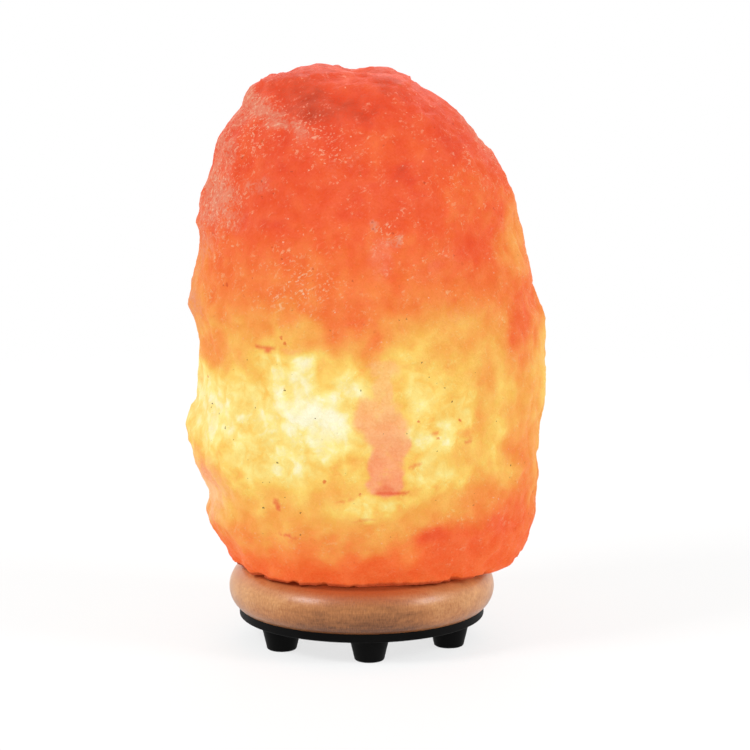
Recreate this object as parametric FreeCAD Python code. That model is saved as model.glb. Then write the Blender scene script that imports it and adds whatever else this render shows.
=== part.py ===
# Salt crystal lamp: a hewn block of rock salt, drilled from below, on a turned wood base with a
# footed plate. A candelabra bulb on a spring-held light unit glows inside the block and pulls
# out from below.
#
# Frame: origin on the table at the axis of the base, +Z up, the front of the lamp towards -Y.
# All sizes are in millimetres. Angles round the base are in degrees from the front towards +X.
import FreeCAD, Part
import math
import os

Vector = FreeCAD.Vector
UP = Vector(0, 0, 1)
FREE = 0.05      # gap round a screw, plug or rivet in its own hole
RUNNING = 0.3    # gap between pieces that move past each other

# ---- Foot plate ------------------------------------------------------------------------------
PLATE_INSET = 4.3            # of its edge from the wood's widest
PLATE_THICKNESS = 2.0
PLATE_RIM_HEIGHT = 3.75
PLATE_RIM_WALL = 2.0
PLATE_EDGE = 0.6
PLATE_LIP_WALL = 2.0
PLATE_OPENING_GAP = 2.5      # beyond the flange's seat
FOOT_COUNT = 6
FIRST_FOOT_ANGLE = 4.7
FOOT_INSET = 11.2            # of a foot's axis from the plate's edge
FOOT_HEIGHT = 10.0
FOOT_TIP_RADIUS = 6.4
FOOT_ROOT_RADIUS = 8.5
FOOT_EDGE = 1.2
FOOT_WALL = 1.8

# ---- Wood base -------------------------------------------------------------------------------
WOOD_RADIUS = 56.3
WOOD_THICKNESS = 19.15
WOOD_NOSE_RADIUS = 10.6
WOOD_BORE_RADIUS = 22.0
FLANGE_SEAT_DEPTH = 4.0
FLANGE_SEAT_GAP = 0.5        # round the flange
HEAD_RECESS_GAP = 0.5        # round a screw head
SHANK_HOLE_GAP = 0.15        # round a screw that passes through the wood
PILOT_EXTRA = 1.0            # depth of a pilot hole beyond its screw's point

# ---- Salt crystal ----------------------------------------------------------------------------
SALT_HEIGHT = 211.0
SALT_WIDTH = 153.0
SALT_DEPTH = 129.0
CAVITY_STEP = 2.0        # of the cavity's wall beyond the wood's bore
CAVITY_END_ROUND = 9.0
CAVITY_HEADROOM = 24.0   # above the bulb
CHISEL_CUTS = 48
SHALLOWEST_CUT = 0.5
DEEPEST_CUT = 2.0

# The outline: height above the sawn face as a share of SALT_HEIGHT, then the reach to the left
# and right as shares of half of SALT_WIDTH, and to the front and back as shares of half of
# SALT_DEPTH.
SALT_OUTLINE = (
    (0.000, 0.725, 0.840, 0.74, 0.78),
    (0.050, 0.815, 0.930, 0.83, 0.87),
    (0.140, 0.870, 0.965, 0.93, 0.95),
    (0.290, 0.980, 0.985, 1.00, 1.00),
    (0.400, 0.905, 1.014, 1.00, 1.00),
    (0.530, 0.955, 0.980, 0.96, 0.97),
    (0.660, 0.915, 0.890, 0.91, 0.92),
    (0.770, 0.865, 0.815, 0.83, 0.85),
    (0.860, 0.800, 0.670, 0.71, 0.75),
    (0.930, 0.680, 0.485, 0.56, 0.61),
    (0.975, 0.575, 0.265, 0.38, 0.42),
    (1.000, 0.370, 0.030, 0.18, 0.22),
)
OUTLINE_POINTS = 16      # per level
WAVINESS = 0.02          # of the reach, at the front and back

# ---- Screws and plugs ------------------------------------------------------------------------
CRYSTAL_SCREW_COUNT = 3
CRYSTAL_SCREW_WALL = 2.0     # wood between the flange's seat and a head's recess
CRYSTAL_SCREW_RADIUS = 2.0
CRYSTAL_SCREW_LENGTH = 35.0
CRYSTAL_SCREW_HEAD_RADIUS = 4.0
CRYSTAL_SCREW_HEAD_HEIGHT = 2.8
CRYSTAL_SCREW_RECESS_DEPTH = 5.0
CRYSTAL_PLUG_WALL = 1.0      # round its screw
CRYSTAL_PLUG_LENGTH = 24.0
PLATE_SCREW_COUNT = 3
PLATE_SCREW_LIP_GAP = 1.0    # from the lip to a head
PLATE_SCREW_RADIUS = 1.5
PLATE_SCREW_LENGTH = 12.0
PLATE_SCREW_HEAD_RADIUS = 3.0
PLATE_SCREW_HEAD_HEIGHT = 2.0
SOCKET_SCREW_OFFSET = 1.3    # outside the socket's base
SOCKET_SCREW_RADIUS = 1.5
SOCKET_SCREW_LENGTH = 8.5
SOCKET_SCREW_HEAD_RADIUS = 2.8
SOCKET_SCREW_HEAD_HEIGHT = 2.0
CAP_SCREW_INSET = 1.7        # inside the cap's wall
CAP_SCREW_RADIUS = 1.25
CAP_SCREW_LENGTH = 14.5
CAP_SCREW_HEAD_RADIUS = 2.1
CAP_SCREW_HEAD_HEIGHT = 1.6
CAP_SCREW_HEAD_DEPTH = 2.4   # from the cap's underside to the head
POINT_LENGTH = 2.5           # of every screw

# ---- Light unit: holder ----------------------------------------------------------------------
FLANGE_RADIUS = 29.0
FLANGE_THICKNESS = 2.5
FLANGE_WIRE_HOLE_RADIUS = 9.0
FLANGE_BOSS_RADIUS = 2.8
FLANGE_BOSS_HEIGHT = 4.0
CAP_RIVET_GAP = 0.5          # from the rivets' heads to its wall
CAP_WALL = 1.8
CAP_FLOOR = 1.3
CAP_EDGE = 1.2
CAP_TABLE_GAP = 1.6
OUTLET_ANGLE = 154.7         # the inlet points out at the back, midway between two feet
OUTLET_HEIGHT = 6.9
OUTLET_BOSS_WALL = 1.3       # round the grommet's neck
OUTLET_BOSS_LENGTH = 2.4
GROMMET_BORE_RADIUS = 2.7
GROMMET_WALL = 0.8
GROMMET_FLANGE_WIDTH = 0.4   # beyond the neck
GROMMET_FLANGE_THICKNESS = 1.2

# ---- Light unit: socket ----------------------------------------------------------------------
SOCKET_HEIGHT = 42.25
SOCKET_BASE_RADIUS = 11.5
SOCKET_TOP_RADIUS = 10.6
SOCKET_EAR_RADIUS = 3.2
SOCKET_EAR_HEIGHT = 7.5
SOCKET_WEB_THICKNESS = 3.0
SOCKET_EDGE = 0.8
SHELL_RADIUS = 6.75
SHELL_WALL = 0.4
SHELL_HEIGHT = 22.5
SHELL_RECESS = 1.5           # from the socket's mouth down to the shell
SHELL_FLOOR_HOLE_RADIUS = 3.4
BLOCK_HEIGHT = 3.0
BLOCK_COLLAR_RADIUS = 3.0
LEAF_WIDTH = 4.0
LEAF_THICKNESS = 0.4
LEAF_RISE = 3.6
LEAF_BACK = 4.0              # from the axis to where the fold starts
LEAF_MARGIN = 0.4            # beyond the rivet's head
LEAF_SLOPE = 0.9             # rise of the upper arm from the fold to its tip
LEAF_TIP_REACH = 1.6
RIVET_RADIUS = 1.2
RIVET_HEAD_RADIUS = 2.0
RIVET_HEAD_HEIGHT = 0.7
TERMINAL_THICKNESS = 0.8
TERMINAL_WIDTH = 5.0
TERMINAL_LENGTH = 10.5
TERMINAL_OFFSET = 6.2
TERMINAL_SCREW_DROP = 6.5    # below the web
TONGUE_OFFSET = 4.6          # of the outer terminal's tongue, from the axis
TERMINAL_SCREW_RADIUS = 1.4
TERMINAL_SCREW_LENGTH = 1.4
TERMINAL_SCREW_HEAD_RADIUS = 2.3
TERMINAL_SCREW_HEAD_HEIGHT = 1.3
TERMINAL_WALL = 1.6          # left round the terminal chamber

# ---- Light unit: retaining clips -------------------------------------------------------------
CLIP_WIDTH = 8.0
CLIP_THICKNESS = 0.5
CLIP_SOCKET_GAP = 0.7        # from the socket's base to the clip's foot
CLIP_FOOT_LENGTH = 4.6
CLIP_APEX_HEIGHT = 10.0      # above the flange
CLIP_HEIGHT = 27.0
CLIP_TIP_REACH = 14.6
CLIP_RIVET_OFFSET = 2.1      # from the start of the foot
CLIP_RIVET_RADIUS = 1.1
CLIP_RIVET_HEAD_RADIUS = 1.9

# ---- Bulb ------------------------------------------------------------------------------------
BULB_CAP_GAP = 0.4           # in the shell
BULB_CAP_LENGTH = 14.5
BULB_CAP_WALL = 0.3
BULB_CAP_LIP = 1.2           # turned in over the insulator
BULB_INSULATOR_HEIGHT = 1.3
BULB_TIP_RADIUS = 2.3
BULB_TIP_HEIGHT = 1.0
BULB_TIP_MARGIN = 0.2        # of the insulator round the tip
BULB_RADIUS = 11.0
BULB_HEIGHT = 42.5           # of the glass above the cap
BULB_SHOULDER_HEIGHT = 10.0
SHOULDER_BOW = 0.16          # of the slant of each of the shoulder's two arcs
BULB_GLASS_WALL = 0.7
BULB_NECK_DEPTH = 9.5        # of the glass inside the cap
STEM_RADIUS = 2.2
STEM_HEIGHT = 17.0
STEM_FLARE_HEIGHT = 1.5
PINCH_LENGTH = 4.0
PINCH_WIDTH = 6.4
PINCH_THICKNESS = 2.4
LEAD_RADIUS = 0.3
LEAD_SPREAD = 1.2            # of the lower wires, from the axis
SUPPORT_RADIUS = 0.2
SUPPORT_SPREAD = 0.8         # from the axis
SUPPORT_ANGLE = 50.0         # from level to where a support meets the arch
FILAMENT_RADIUS = 0.35
FILAMENT_ARCH_RADIUS = 5.5
FILAMENT_HEIGHT = 33.0       # of the arch's centre above the glass's lower end

# ---- Levels and places worked out from the sizes above ---------------------------------------
Z_PLATE = FOOT_HEIGHT
Z_WOOD = Z_PLATE + PLATE_RIM_HEIGHT
Z_SALT = Z_WOOD + WOOD_THICKNESS
Z_FLANGE_TOP = Z_WOOD + FLANGE_SEAT_DEPTH
Z_FLANGE = Z_FLANGE_TOP - FLANGE_THICKNESS
Z_SOCKET_TOP = Z_FLANGE_TOP + SOCKET_HEIGHT
Z_SHELL_TOP = Z_SOCKET_TOP - SHELL_RECESS
Z_SHELL = Z_SHELL_TOP - SHELL_HEIGHT
Z_WEB = Z_SHELL - SOCKET_WEB_THICKNESS
Z_BLOCK = Z_SHELL + SHELL_WALL
Z_BLOCK_TOP = Z_BLOCK + BLOCK_HEIGHT
Z_LEAF_TOP = Z_BLOCK_TOP + LEAF_THICKNESS + LEAF_RISE
Z_BULB_TIP = Z_LEAF_TOP + RUNNING
Z_BULB_INSULATOR = Z_BULB_TIP + BULB_TIP_HEIGHT
Z_BULB_CAP = Z_BULB_INSULATOR + BULB_INSULATOR_HEIGHT
Z_BULB_CAP_TOP = Z_BULB_CAP + BULB_CAP_LENGTH
Z_GLASS = Z_BULB_CAP_TOP - BULB_NECK_DEPTH
Z_BULB_TOP = Z_BULB_CAP_TOP + BULB_HEIGHT
Z_CAVITY_TOP = Z_BULB_TOP + CAVITY_HEADROOM
Z_STEM_TOP = Z_GLASS + STEM_HEIGHT + PINCH_LENGTH
Z_FILAMENT = Z_GLASS + FILAMENT_HEIGHT

PLATE_RADIUS = WOOD_RADIUS - PLATE_INSET
FOOT_CIRCLE_RADIUS = PLATE_RADIUS - FOOT_INSET
CAVITY_RADIUS = WOOD_BORE_RADIUS + CAVITY_STEP
FLANGE_SEAT_RADIUS = FLANGE_RADIUS + FLANGE_SEAT_GAP
PLATE_OPENING_RADIUS = FLANGE_SEAT_RADIUS + PLATE_OPENING_GAP
PLATE_LIP_RADIUS = PLATE_OPENING_RADIUS + PLATE_LIP_WALL
CRYSTAL_RECESS_RADIUS = CRYSTAL_SCREW_HEAD_RADIUS + HEAD_RECESS_GAP
CRYSTAL_SCREW_CIRCLE = FLANGE_SEAT_RADIUS + CRYSTAL_SCREW_WALL + CRYSTAL_RECESS_RADIUS
CRYSTAL_PLUG_RADIUS = CRYSTAL_SCREW_RADIUS + CRYSTAL_PLUG_WALL
PLATE_SCREW_CIRCLE = PLATE_LIP_RADIUS + PLATE_SCREW_LIP_GAP + PLATE_SCREW_HEAD_RADIUS
SOCKET_SCREW_CIRCLE = SOCKET_BASE_RADIUS + SOCKET_SCREW_OFFSET
BULB_CAP_RADIUS = SHELL_RADIUS - SHELL_WALL - BULB_CAP_GAP
GLASS_NECK_RADIUS = BULB_CAP_RADIUS - BULB_CAP_WALL - FREE
CLIP_FOOT_START = SOCKET_BASE_RADIUS + CLIP_SOCKET_GAP
CLIP_FOOT_END = CLIP_FOOT_START + CLIP_FOOT_LENGTH
CLIP_RIVET_REACH = CLIP_FOOT_START + CLIP_RIVET_OFFSET
CLIP_REACH = math.sqrt((WOOD_BORE_RADIUS - RUNNING) ** 2 - (CLIP_WIDTH / 2) ** 2)
CAP_INNER_RADIUS = CLIP_RIVET_REACH + CLIP_RIVET_HEAD_RADIUS + CAP_RIVET_GAP
CAP_RADIUS = CAP_INNER_RADIUS + CAP_WALL
CAP_SCREW_CIRCLE = CAP_INNER_RADIUS - CAP_SCREW_INSET
GROMMET_NECK_RADIUS = GROMMET_BORE_RADIUS + GROMMET_WALL
GROMMET_FLANGE_RADIUS = GROMMET_NECK_RADIUS + GROMMET_FLANGE_WIDTH
GROMMET_SEAT_RADIUS = CAP_INNER_RADIUS - GROMMET_FLANGE_THICKNESS    # a flat inside the cap
OUTLET_BOSS_RADIUS = GROMMET_NECK_RADIUS + OUTLET_BOSS_WALL
OUTLET_FACE = CAP_RADIUS + OUTLET_BOSS_LENGTH
CHAMBER_RADIUS = SOCKET_BASE_RADIUS - TERMINAL_WALL

HALF_PITCH = 180.0 / FOOT_COUNT
CRYSTAL_SCREW_ANGLES = [FIRST_FOOT_ANGLE + HALF_PITCH + k * 360.0 / CRYSTAL_SCREW_COUNT
                        for k in range(CRYSTAL_SCREW_COUNT)]
PLATE_SCREW_ANGLES = [FIRST_FOOT_ANGLE + 3 * HALF_PITCH + k * 360.0 / PLATE_SCREW_COUNT
                      for k in range(PLATE_SCREW_COUNT)]
# In the light unit's own frame the inlet points along +X.
SOCKET_EAR_ANGLES = (0.0, 180.0)
CLIP_ANGLES = (90.0, 270.0)
CAP_SCREW_ANGLES = (135.0, 315.0)
LIGHT_UNIT_TURN = OUTLET_ANGLE - 90.0


# ---- Helpers ---------------------------------------------------------------------------------
def at_base_angle(angle, radius, z=0.0):
    """Place at an angle round the base, from the front towards +X."""
    turn = math.radians(angle)
    return Vector(radius * math.sin(turn), -radius * math.cos(turn), z)


def at_unit_angle(angle, radius, z=0.0):
    """Place at an angle round the light unit, from its +X."""
    turn = math.radians(angle)
    return Vector(radius * math.cos(turn), radius * math.sin(turn), z)


def rod(radius, low, high, place=Vector()):
    """Upright cylinder from one level to another."""
    return Part.makeCylinder(radius, high - low, Vector(place.x, place.y, low))


def rod_between(radius, start, end):
    """Round wire from one point to another."""
    along = end - start
    return Part.makeCylinder(radius, along.Length, start, along)


def tube(outer, inner, low, high, place=Vector()):
    """Upright tube from one level to another."""
    return rod(outer, low, high, place).cut(rod(inner, low, high, place))


def outline(start, *legs):
    """Closed wire in the XZ plane. A leg is its end point, or a point on an arc and the end."""
    edges = []
    here = Vector(start[0], 0, start[1])
    for leg in legs + (start,):
        curved = isinstance(leg[0], tuple)
        goal = leg[1] if curved else leg
        there = Vector(goal[0], 0, goal[1])
        if here.distanceToPoint(there) > 1e-6:
            if curved:
                through = Vector(leg[0][0], 0, leg[0][1])
                edges.append(Part.Arc(here, through, there).toShape())
            else:
                edges.append(Part.LineSegment(here, there).toShape())
        here = there
    return Part.Wire(edges)


def turned(start, *legs, place=Vector()):
    """Solid of revolution about the upright axis at a place, from a closed outline."""
    solid = Part.Face(outline(start, *legs)).revolve(Vector(), UP, 360)
    return solid.translated(Vector(place.x, place.y, 0))


def corner(centre_r, centre_z, radius, degrees):
    """Point on a rounded corner, by its angle from the outward direction upwards."""
    turn = math.radians(degrees)
    return (centre_r + radius * math.cos(turn), centre_z + radius * math.sin(turn))


def pan_screw(radius, length, head_radius, head_height, seat, place):
    """Pan head screw that points up, with its head under the seat level."""
    low = seat - head_height
    edge = head_height / 2
    top = seat + length
    return turned((0, low), (head_radius - edge, low),
                  (corner(head_radius - edge, low + edge, edge, -45), (head_radius, low + edge)),
                  (head_radius, seat), (radius, seat), (radius, top - POINT_LENGTH), (0, top),
                  place=place)


def light_unit(shape):
    """Turn a piece of the light unit so that its inlet points out between two feet."""
    return shape.rotated(Vector(), UP, LIGHT_UNIT_TURN)


# ---- Salt crystal ----------------------------------------------------------------------------
def salt_level(index, share, left, right, front, back):
    """One closed level of the crystal: four reaches joined smoothly, with a wavy front and back."""
    z = Z_SALT + share * SALT_HEIGHT
    points = []
    for step in range(OUTLINE_POINTS):
        turn = 2 * math.pi * step / OUTLINE_POINTS
        across, along = math.cos(turn), math.sin(turn)
        x = across * (right if across > 0 else left) * SALT_WIDTH / 2
        y = along * (back if along > 0 else front) * SALT_DEPTH / 2
        wave = math.cos(3 * turn + index) + 0.6 * math.cos(5 * turn - 2 * index)
        wave = 1 + WAVINESS * wave * along * along
        points.append(Vector(x * wave, y * wave, z))
    curve = Part.BSplineCurve()
    # Even parameters give every level the same knots, which keeps the loft's surface simple.
    even = [step / OUTLINE_POINTS for step in range(OUTLINE_POINTS + 1)]
    curve.interpolate(Points=points, PeriodicFlag=True, Parameters=even)
    return Part.Wire([curve.toShape()])


def chisel_block(form):
    """Block of flat faces that each shave a little off the rounded form."""
    surface = form.tessellate(0.5)[0]
    size = 2 * max(SALT_HEIGHT, SALT_WIDTH, SALT_DEPTH)
    middle = Vector(0, 0, Z_SALT + SALT_HEIGHT / 2)
    block = Part.makeBox(size, size, size, middle - Vector(size / 2, size / 2, size / 2))
    golden_turn = math.pi * (3 - math.sqrt(5))
    for cut in range(CHISEL_CUTS):
        # The cuts are spread evenly from straight up to a little below level.
        rise = 1 - 1.45 * (cut + 0.5) / CHISEL_CUTS
        flat = math.sqrt(1 - rise * rise)
        turn = cut * golden_turn
        facing = Vector(flat * math.cos(turn), flat * math.sin(turn), rise)
        depth = SHALLOWEST_CUT + (DEEPEST_CUT - SHALLOWEST_CUT) * ((cut * 0.618) % 1)
        reach = max(point.dot(facing) for point in surface) - depth
        waste = Part.makeBox(2 * size, 2 * size, size, Vector(-size, -size, 0))
        waste.Placement = FreeCAD.Placement(facing * reach, FreeCAD.Rotation(UP, facing))
        block = block.cut(waste)
    return block


def cavity():
    """Room for the light, drilled from below with a rounded end."""
    edge = CAVITY_END_ROUND
    return turned((0, Z_SALT), (CAVITY_RADIUS, Z_SALT), (CAVITY_RADIUS, Z_CAVITY_TOP - edge),
                  (corner(CAVITY_RADIUS - edge, Z_CAVITY_TOP - edge, edge, 45),
                   (CAVITY_RADIUS - edge, Z_CAVITY_TOP)),
                  (0, Z_CAVITY_TOP))


def salt_crystal():
    levels = [salt_level(index, *row) for index, row in enumerate(SALT_OUTLINE)]
    form = Part.makeLoft(levels, True)
    crystal = form.common(chisel_block(form)).cut(cavity())
    for angle in CRYSTAL_SCREW_ANGLES:
        place = at_base_angle(angle, CRYSTAL_SCREW_CIRCLE)
        top = Z_SALT + CRYSTAL_PLUG_LENGTH + FREE
        crystal = crystal.cut(rod(CRYSTAL_PLUG_RADIUS + FREE, Z_SALT, top, place))
    return crystal


def crystal_plugs():
    return [tube(CRYSTAL_PLUG_RADIUS, CRYSTAL_SCREW_RADIUS + FREE, Z_SALT,
                 Z_SALT + CRYSTAL_PLUG_LENGTH, at_base_angle(angle, CRYSTAL_SCREW_CIRCLE))
            for angle in CRYSTAL_SCREW_ANGLES]


def crystal_screws():
    seat = Z_WOOD + CRYSTAL_SCREW_RECESS_DEPTH
    return [pan_screw(CRYSTAL_SCREW_RADIUS, CRYSTAL_SCREW_LENGTH, CRYSTAL_SCREW_HEAD_RADIUS,
                      CRYSTAL_SCREW_HEAD_HEIGHT, seat, at_base_angle(angle, CRYSTAL_SCREW_CIRCLE))
            for angle in CRYSTAL_SCREW_ANGLES]


# ---- Base ------------------------------------------------------------------------------------
def wood_base():
    """Turned ring with a full bullnose that ends flush with the foot plate's rim."""
    nose_r = WOOD_RADIUS - WOOD_NOSE_RADIUS
    nose_z = Z_SALT - WOOD_NOSE_RADIUS
    lower_r = nose_r + math.sqrt(WOOD_NOSE_RADIUS ** 2 - (nose_z - Z_WOOD) ** 2)
    base = turned((WOOD_BORE_RADIUS, Z_FLANGE_TOP), (FLANGE_SEAT_RADIUS, Z_FLANGE_TOP),
                  (FLANGE_SEAT_RADIUS, Z_WOOD), (lower_r, Z_WOOD),
                  ((WOOD_RADIUS, nose_z), (nose_r, Z_SALT)), (WOOD_BORE_RADIUS, Z_SALT))
    head_seat = Z_WOOD + CRYSTAL_SCREW_RECESS_DEPTH
    for angle in CRYSTAL_SCREW_ANGLES:
        place = at_base_angle(angle, CRYSTAL_SCREW_CIRCLE)
        base = base.cut(rod(CRYSTAL_SCREW_RADIUS + SHANK_HOLE_GAP, Z_WOOD, Z_SALT, place))
        base = base.cut(rod(CRYSTAL_RECESS_RADIUS, Z_WOOD, head_seat, place))
    pilot_top = Z_WOOD - PLATE_THICKNESS + PLATE_SCREW_LENGTH + PILOT_EXTRA
    for angle in PLATE_SCREW_ANGLES:
        place = at_base_angle(angle, PLATE_SCREW_CIRCLE)
        base = base.cut(rod(PLATE_SCREW_RADIUS + FREE, Z_WOOD, pilot_top, place))
    return base


def foot(place):
    """Tapered foot with a rounded lower edge, up to the top of the plate."""
    edge = FOOT_EDGE
    return turned((0, 0), (FOOT_TIP_RADIUS - edge, 0),
                  (corner(FOOT_TIP_RADIUS - edge, edge, edge, -45), (FOOT_TIP_RADIUS, edge)),
                  (FOOT_ROOT_RADIUS, FOOT_HEIGHT), (FOOT_ROOT_RADIUS, Z_WOOD), (0, Z_WOOD),
                  place=place)


def foot_hollow(place):
    """Hollow of a foot, open at the top of the plate."""
    return turned((0, FOOT_WALL), (FOOT_TIP_RADIUS - FOOT_WALL, FOOT_WALL),
                  (FOOT_ROOT_RADIUS - FOOT_WALL, FOOT_HEIGHT),
                  (FOOT_ROOT_RADIUS - FOOT_WALL, Z_WOOD), (0, Z_WOOD), place=place)


def foot_plate():
    """Moulded plate: disc, rim, lip round the opening, and hollow feet."""
    disc = Z_WOOD - PLATE_THICKNESS
    inside = PLATE_RADIUS - PLATE_RIM_WALL
    lip = PLATE_LIP_RADIUS
    edge = PLATE_EDGE
    plate = turned((PLATE_OPENING_RADIUS, Z_PLATE), (lip, Z_PLATE), (lip, disc), (inside, disc),
                   (inside, Z_PLATE), (PLATE_RADIUS - edge, Z_PLATE),
                   (corner(PLATE_RADIUS - edge, Z_PLATE + edge, edge, -45),
                    (PLATE_RADIUS, Z_PLATE + edge)),
                   (PLATE_RADIUS, Z_WOOD), (PLATE_OPENING_RADIUS, Z_WOOD))
    places = [at_base_angle(FIRST_FOOT_ANGLE + k * 360.0 / FOOT_COUNT, FOOT_CIRCLE_RADIUS)
              for k in range(FOOT_COUNT)]
    plate = plate.fuse([foot(place) for place in places])
    plate = plate.cut([foot_hollow(place) for place in places])
    holes = [rod(PLATE_SCREW_RADIUS + FREE, disc, Z_WOOD, at_base_angle(angle, PLATE_SCREW_CIRCLE))
             for angle in PLATE_SCREW_ANGLES]
    return plate.cut(holes).removeSplitter()


def plate_screws():
    return [pan_screw(PLATE_SCREW_RADIUS, PLATE_SCREW_LENGTH, PLATE_SCREW_HEAD_RADIUS,
                      PLATE_SCREW_HEAD_HEIGHT, Z_WOOD - PLATE_THICKNESS,
                      at_base_angle(angle, PLATE_SCREW_CIRCLE))
            for angle in PLATE_SCREW_ANGLES]


# ---- Holder ----------------------------------------------------------------------------------
def holder_flange():
    """Disc that seats in the wood's counterbore, with bosses for the cap's screws."""
    flange = rod(FLANGE_RADIUS, Z_FLANGE, Z_FLANGE_TOP)
    boss_top = Z_FLANGE_TOP + FLANGE_BOSS_HEIGHT
    for angle in CAP_SCREW_ANGLES:
        place = at_unit_angle(angle, CAP_SCREW_CIRCLE)
        flange = flange.fuse(rod(FLANGE_BOSS_RADIUS, Z_FLANGE_TOP, boss_top, place))
        flange = flange.cut(rod(CAP_SCREW_RADIUS + FREE, Z_FLANGE, boss_top, place))
    for angle in SOCKET_EAR_ANGLES:
        place = at_unit_angle(angle, SOCKET_SCREW_CIRCLE)
        flange = flange.cut(rod(SOCKET_SCREW_RADIUS + FREE, Z_FLANGE, Z_FLANGE_TOP, place))
    for angle in CLIP_ANGLES:
        place = at_unit_angle(angle, CLIP_RIVET_REACH)
        flange = flange.cut(rod(CLIP_RIVET_RADIUS + FREE, Z_FLANGE, Z_FLANGE_TOP, place))
    return light_unit(flange.cut(rod(FLANGE_WIRE_HOLE_RADIUS, Z_FLANGE, Z_FLANGE_TOP)))


def holder_cap():
    """Cap below the flange: side inlet for the cord, and two posts for its screws."""
    edge = CAP_EDGE
    low = CAP_TABLE_GAP
    floor = low + CAP_FLOOR
    cap = turned((0, low), (CAP_RADIUS - edge, low),
                 (corner(CAP_RADIUS - edge, low + edge, edge, -45), (CAP_RADIUS, low + edge)),
                 (CAP_RADIUS, Z_FLANGE), (CAP_INNER_RADIUS, Z_FLANGE), (CAP_INNER_RADIUS, floor),
                 (0, floor))
    inlet = Vector(GROMMET_SEAT_RADIUS, 0, OUTLET_HEIGHT)
    outward = Vector(1, 0, 0)
    reach = OUTLET_FACE - GROMMET_SEAT_RADIUS
    cap = cap.fuse(Part.makeCylinder(OUTLET_BOSS_RADIUS, reach, inlet, outward))
    cap = cap.cut(Part.makeCylinder(GROMMET_NECK_RADIUS + FREE, reach, inlet, outward))
    head_seat = low + CAP_SCREW_HEAD_DEPTH + CAP_SCREW_HEAD_HEIGHT
    for angle in CAP_SCREW_ANGLES:
        place = at_unit_angle(angle, CAP_SCREW_CIRCLE)
        cap = cap.fuse(rod(FLANGE_BOSS_RADIUS, floor - CAP_FLOOR / 2, Z_FLANGE, place))
        cap = cap.cut(rod(CAP_SCREW_RADIUS + FREE, low, Z_FLANGE, place))
        cap = cap.cut(rod(CAP_SCREW_HEAD_RADIUS + FREE, low, head_seat, place))
    return light_unit(cap)


def cap_screws():
    seat = CAP_TABLE_GAP + CAP_SCREW_HEAD_DEPTH + CAP_SCREW_HEAD_HEIGHT
    return [light_unit(pan_screw(CAP_SCREW_RADIUS, CAP_SCREW_LENGTH, CAP_SCREW_HEAD_RADIUS,
                                 CAP_SCREW_HEAD_HEIGHT, seat,
                                 at_unit_angle(angle, CAP_SCREW_CIRCLE)))
            for angle in CAP_SCREW_ANGLES]


def cord_grommet():
    """Rubber grommet: a neck through the inlet with a flange at each end."""
    outward = Vector(1, 0, 0)
    start = GROMMET_SEAT_RADIUS - GROMMET_FLANGE_THICKNESS
    length = OUTLET_FACE - GROMMET_SEAT_RADIUS + 2 * GROMMET_FLANGE_THICKNESS
    inside = Vector(start, 0, OUTLET_HEIGHT)
    outside = Vector(OUTLET_FACE, 0, OUTLET_HEIGHT)
    grommet = Part.makeCylinder(GROMMET_NECK_RADIUS, length, inside, outward)
    for place in (inside, outside):
        grommet = grommet.fuse(Part.makeCylinder(GROMMET_FLANGE_RADIUS, GROMMET_FLANGE_THICKNESS,
                                                 place, outward))
    return light_unit(grommet.cut(Part.makeCylinder(GROMMET_BORE_RADIUS, length, inside, outward)))


# ---- Socket ----------------------------------------------------------------------------------
def socket_body():
    """Moulding with two ears, a terminal chamber below its web and the shell's bore above."""
    edge = SOCKET_EDGE
    bore = SHELL_RADIUS + FREE
    body = turned((CHAMBER_RADIUS, Z_FLANGE_TOP), (SOCKET_BASE_RADIUS, Z_FLANGE_TOP),
                  (SOCKET_TOP_RADIUS, Z_SOCKET_TOP - edge),
                  (corner(SOCKET_TOP_RADIUS - edge, Z_SOCKET_TOP - edge, edge, 45),
                   (SOCKET_TOP_RADIUS - edge, Z_SOCKET_TOP)),
                  (bore, Z_SOCKET_TOP), (bore, Z_SHELL), (RIVET_RADIUS + FREE, Z_SHELL),
                  (RIVET_RADIUS + FREE, Z_WEB), (CHAMBER_RADIUS - TERMINAL_WALL, Z_WEB))
    for angle in SOCKET_EAR_ANGLES:
        place = at_unit_angle(angle, SOCKET_SCREW_CIRCLE)
        ear = rod(SOCKET_EAR_RADIUS, Z_FLANGE_TOP, Z_FLANGE_TOP + SOCKET_EAR_HEIGHT, place)
        body = body.fuse(ear.cut(rod(CHAMBER_RADIUS, Z_FLANGE_TOP, Z_WEB)))
        pilot = Z_FLANGE + SOCKET_SCREW_LENGTH + FREE
        body = body.cut(rod(SOCKET_SCREW_RADIUS + FREE, Z_FLANGE_TOP, pilot, place))
    slot = Part.makeBox(TERMINAL_THICKNESS + 2 * FREE, TERMINAL_WIDTH / 2 + 2 * FREE,
                        SOCKET_WEB_THICKNESS,
                        Vector(TONGUE_OFFSET - FREE, -TERMINAL_WIDTH / 4 - FREE, Z_WEB))
    return light_unit(body.cut(slot))


def socket_screw_shell():
    """Brass cup with an open floor."""
    inner = SHELL_RADIUS - SHELL_WALL
    return light_unit(turned((SHELL_FLOOR_HOLE_RADIUS, Z_SHELL), (SHELL_RADIUS, Z_SHELL),
                             (SHELL_RADIUS, Z_SHELL_TOP), (inner, Z_SHELL_TOP),
                             (inner, Z_BLOCK), (SHELL_FLOOR_HOLE_RADIUS, Z_BLOCK)))


def contact_block():
    """Insulating disc in the shell, with a collar through the hole in the shell's floor."""
    wide = SHELL_RADIUS - SHELL_WALL - FREE
    hole = RIVET_RADIUS + FREE
    return light_unit(turned((hole, Z_SHELL), (BLOCK_COLLAR_RADIUS, Z_SHELL),
                             (BLOCK_COLLAR_RADIUS, Z_BLOCK), (wide, Z_BLOCK),
                             (wide, Z_BLOCK_TOP), (hole, Z_BLOCK_TOP)))


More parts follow.
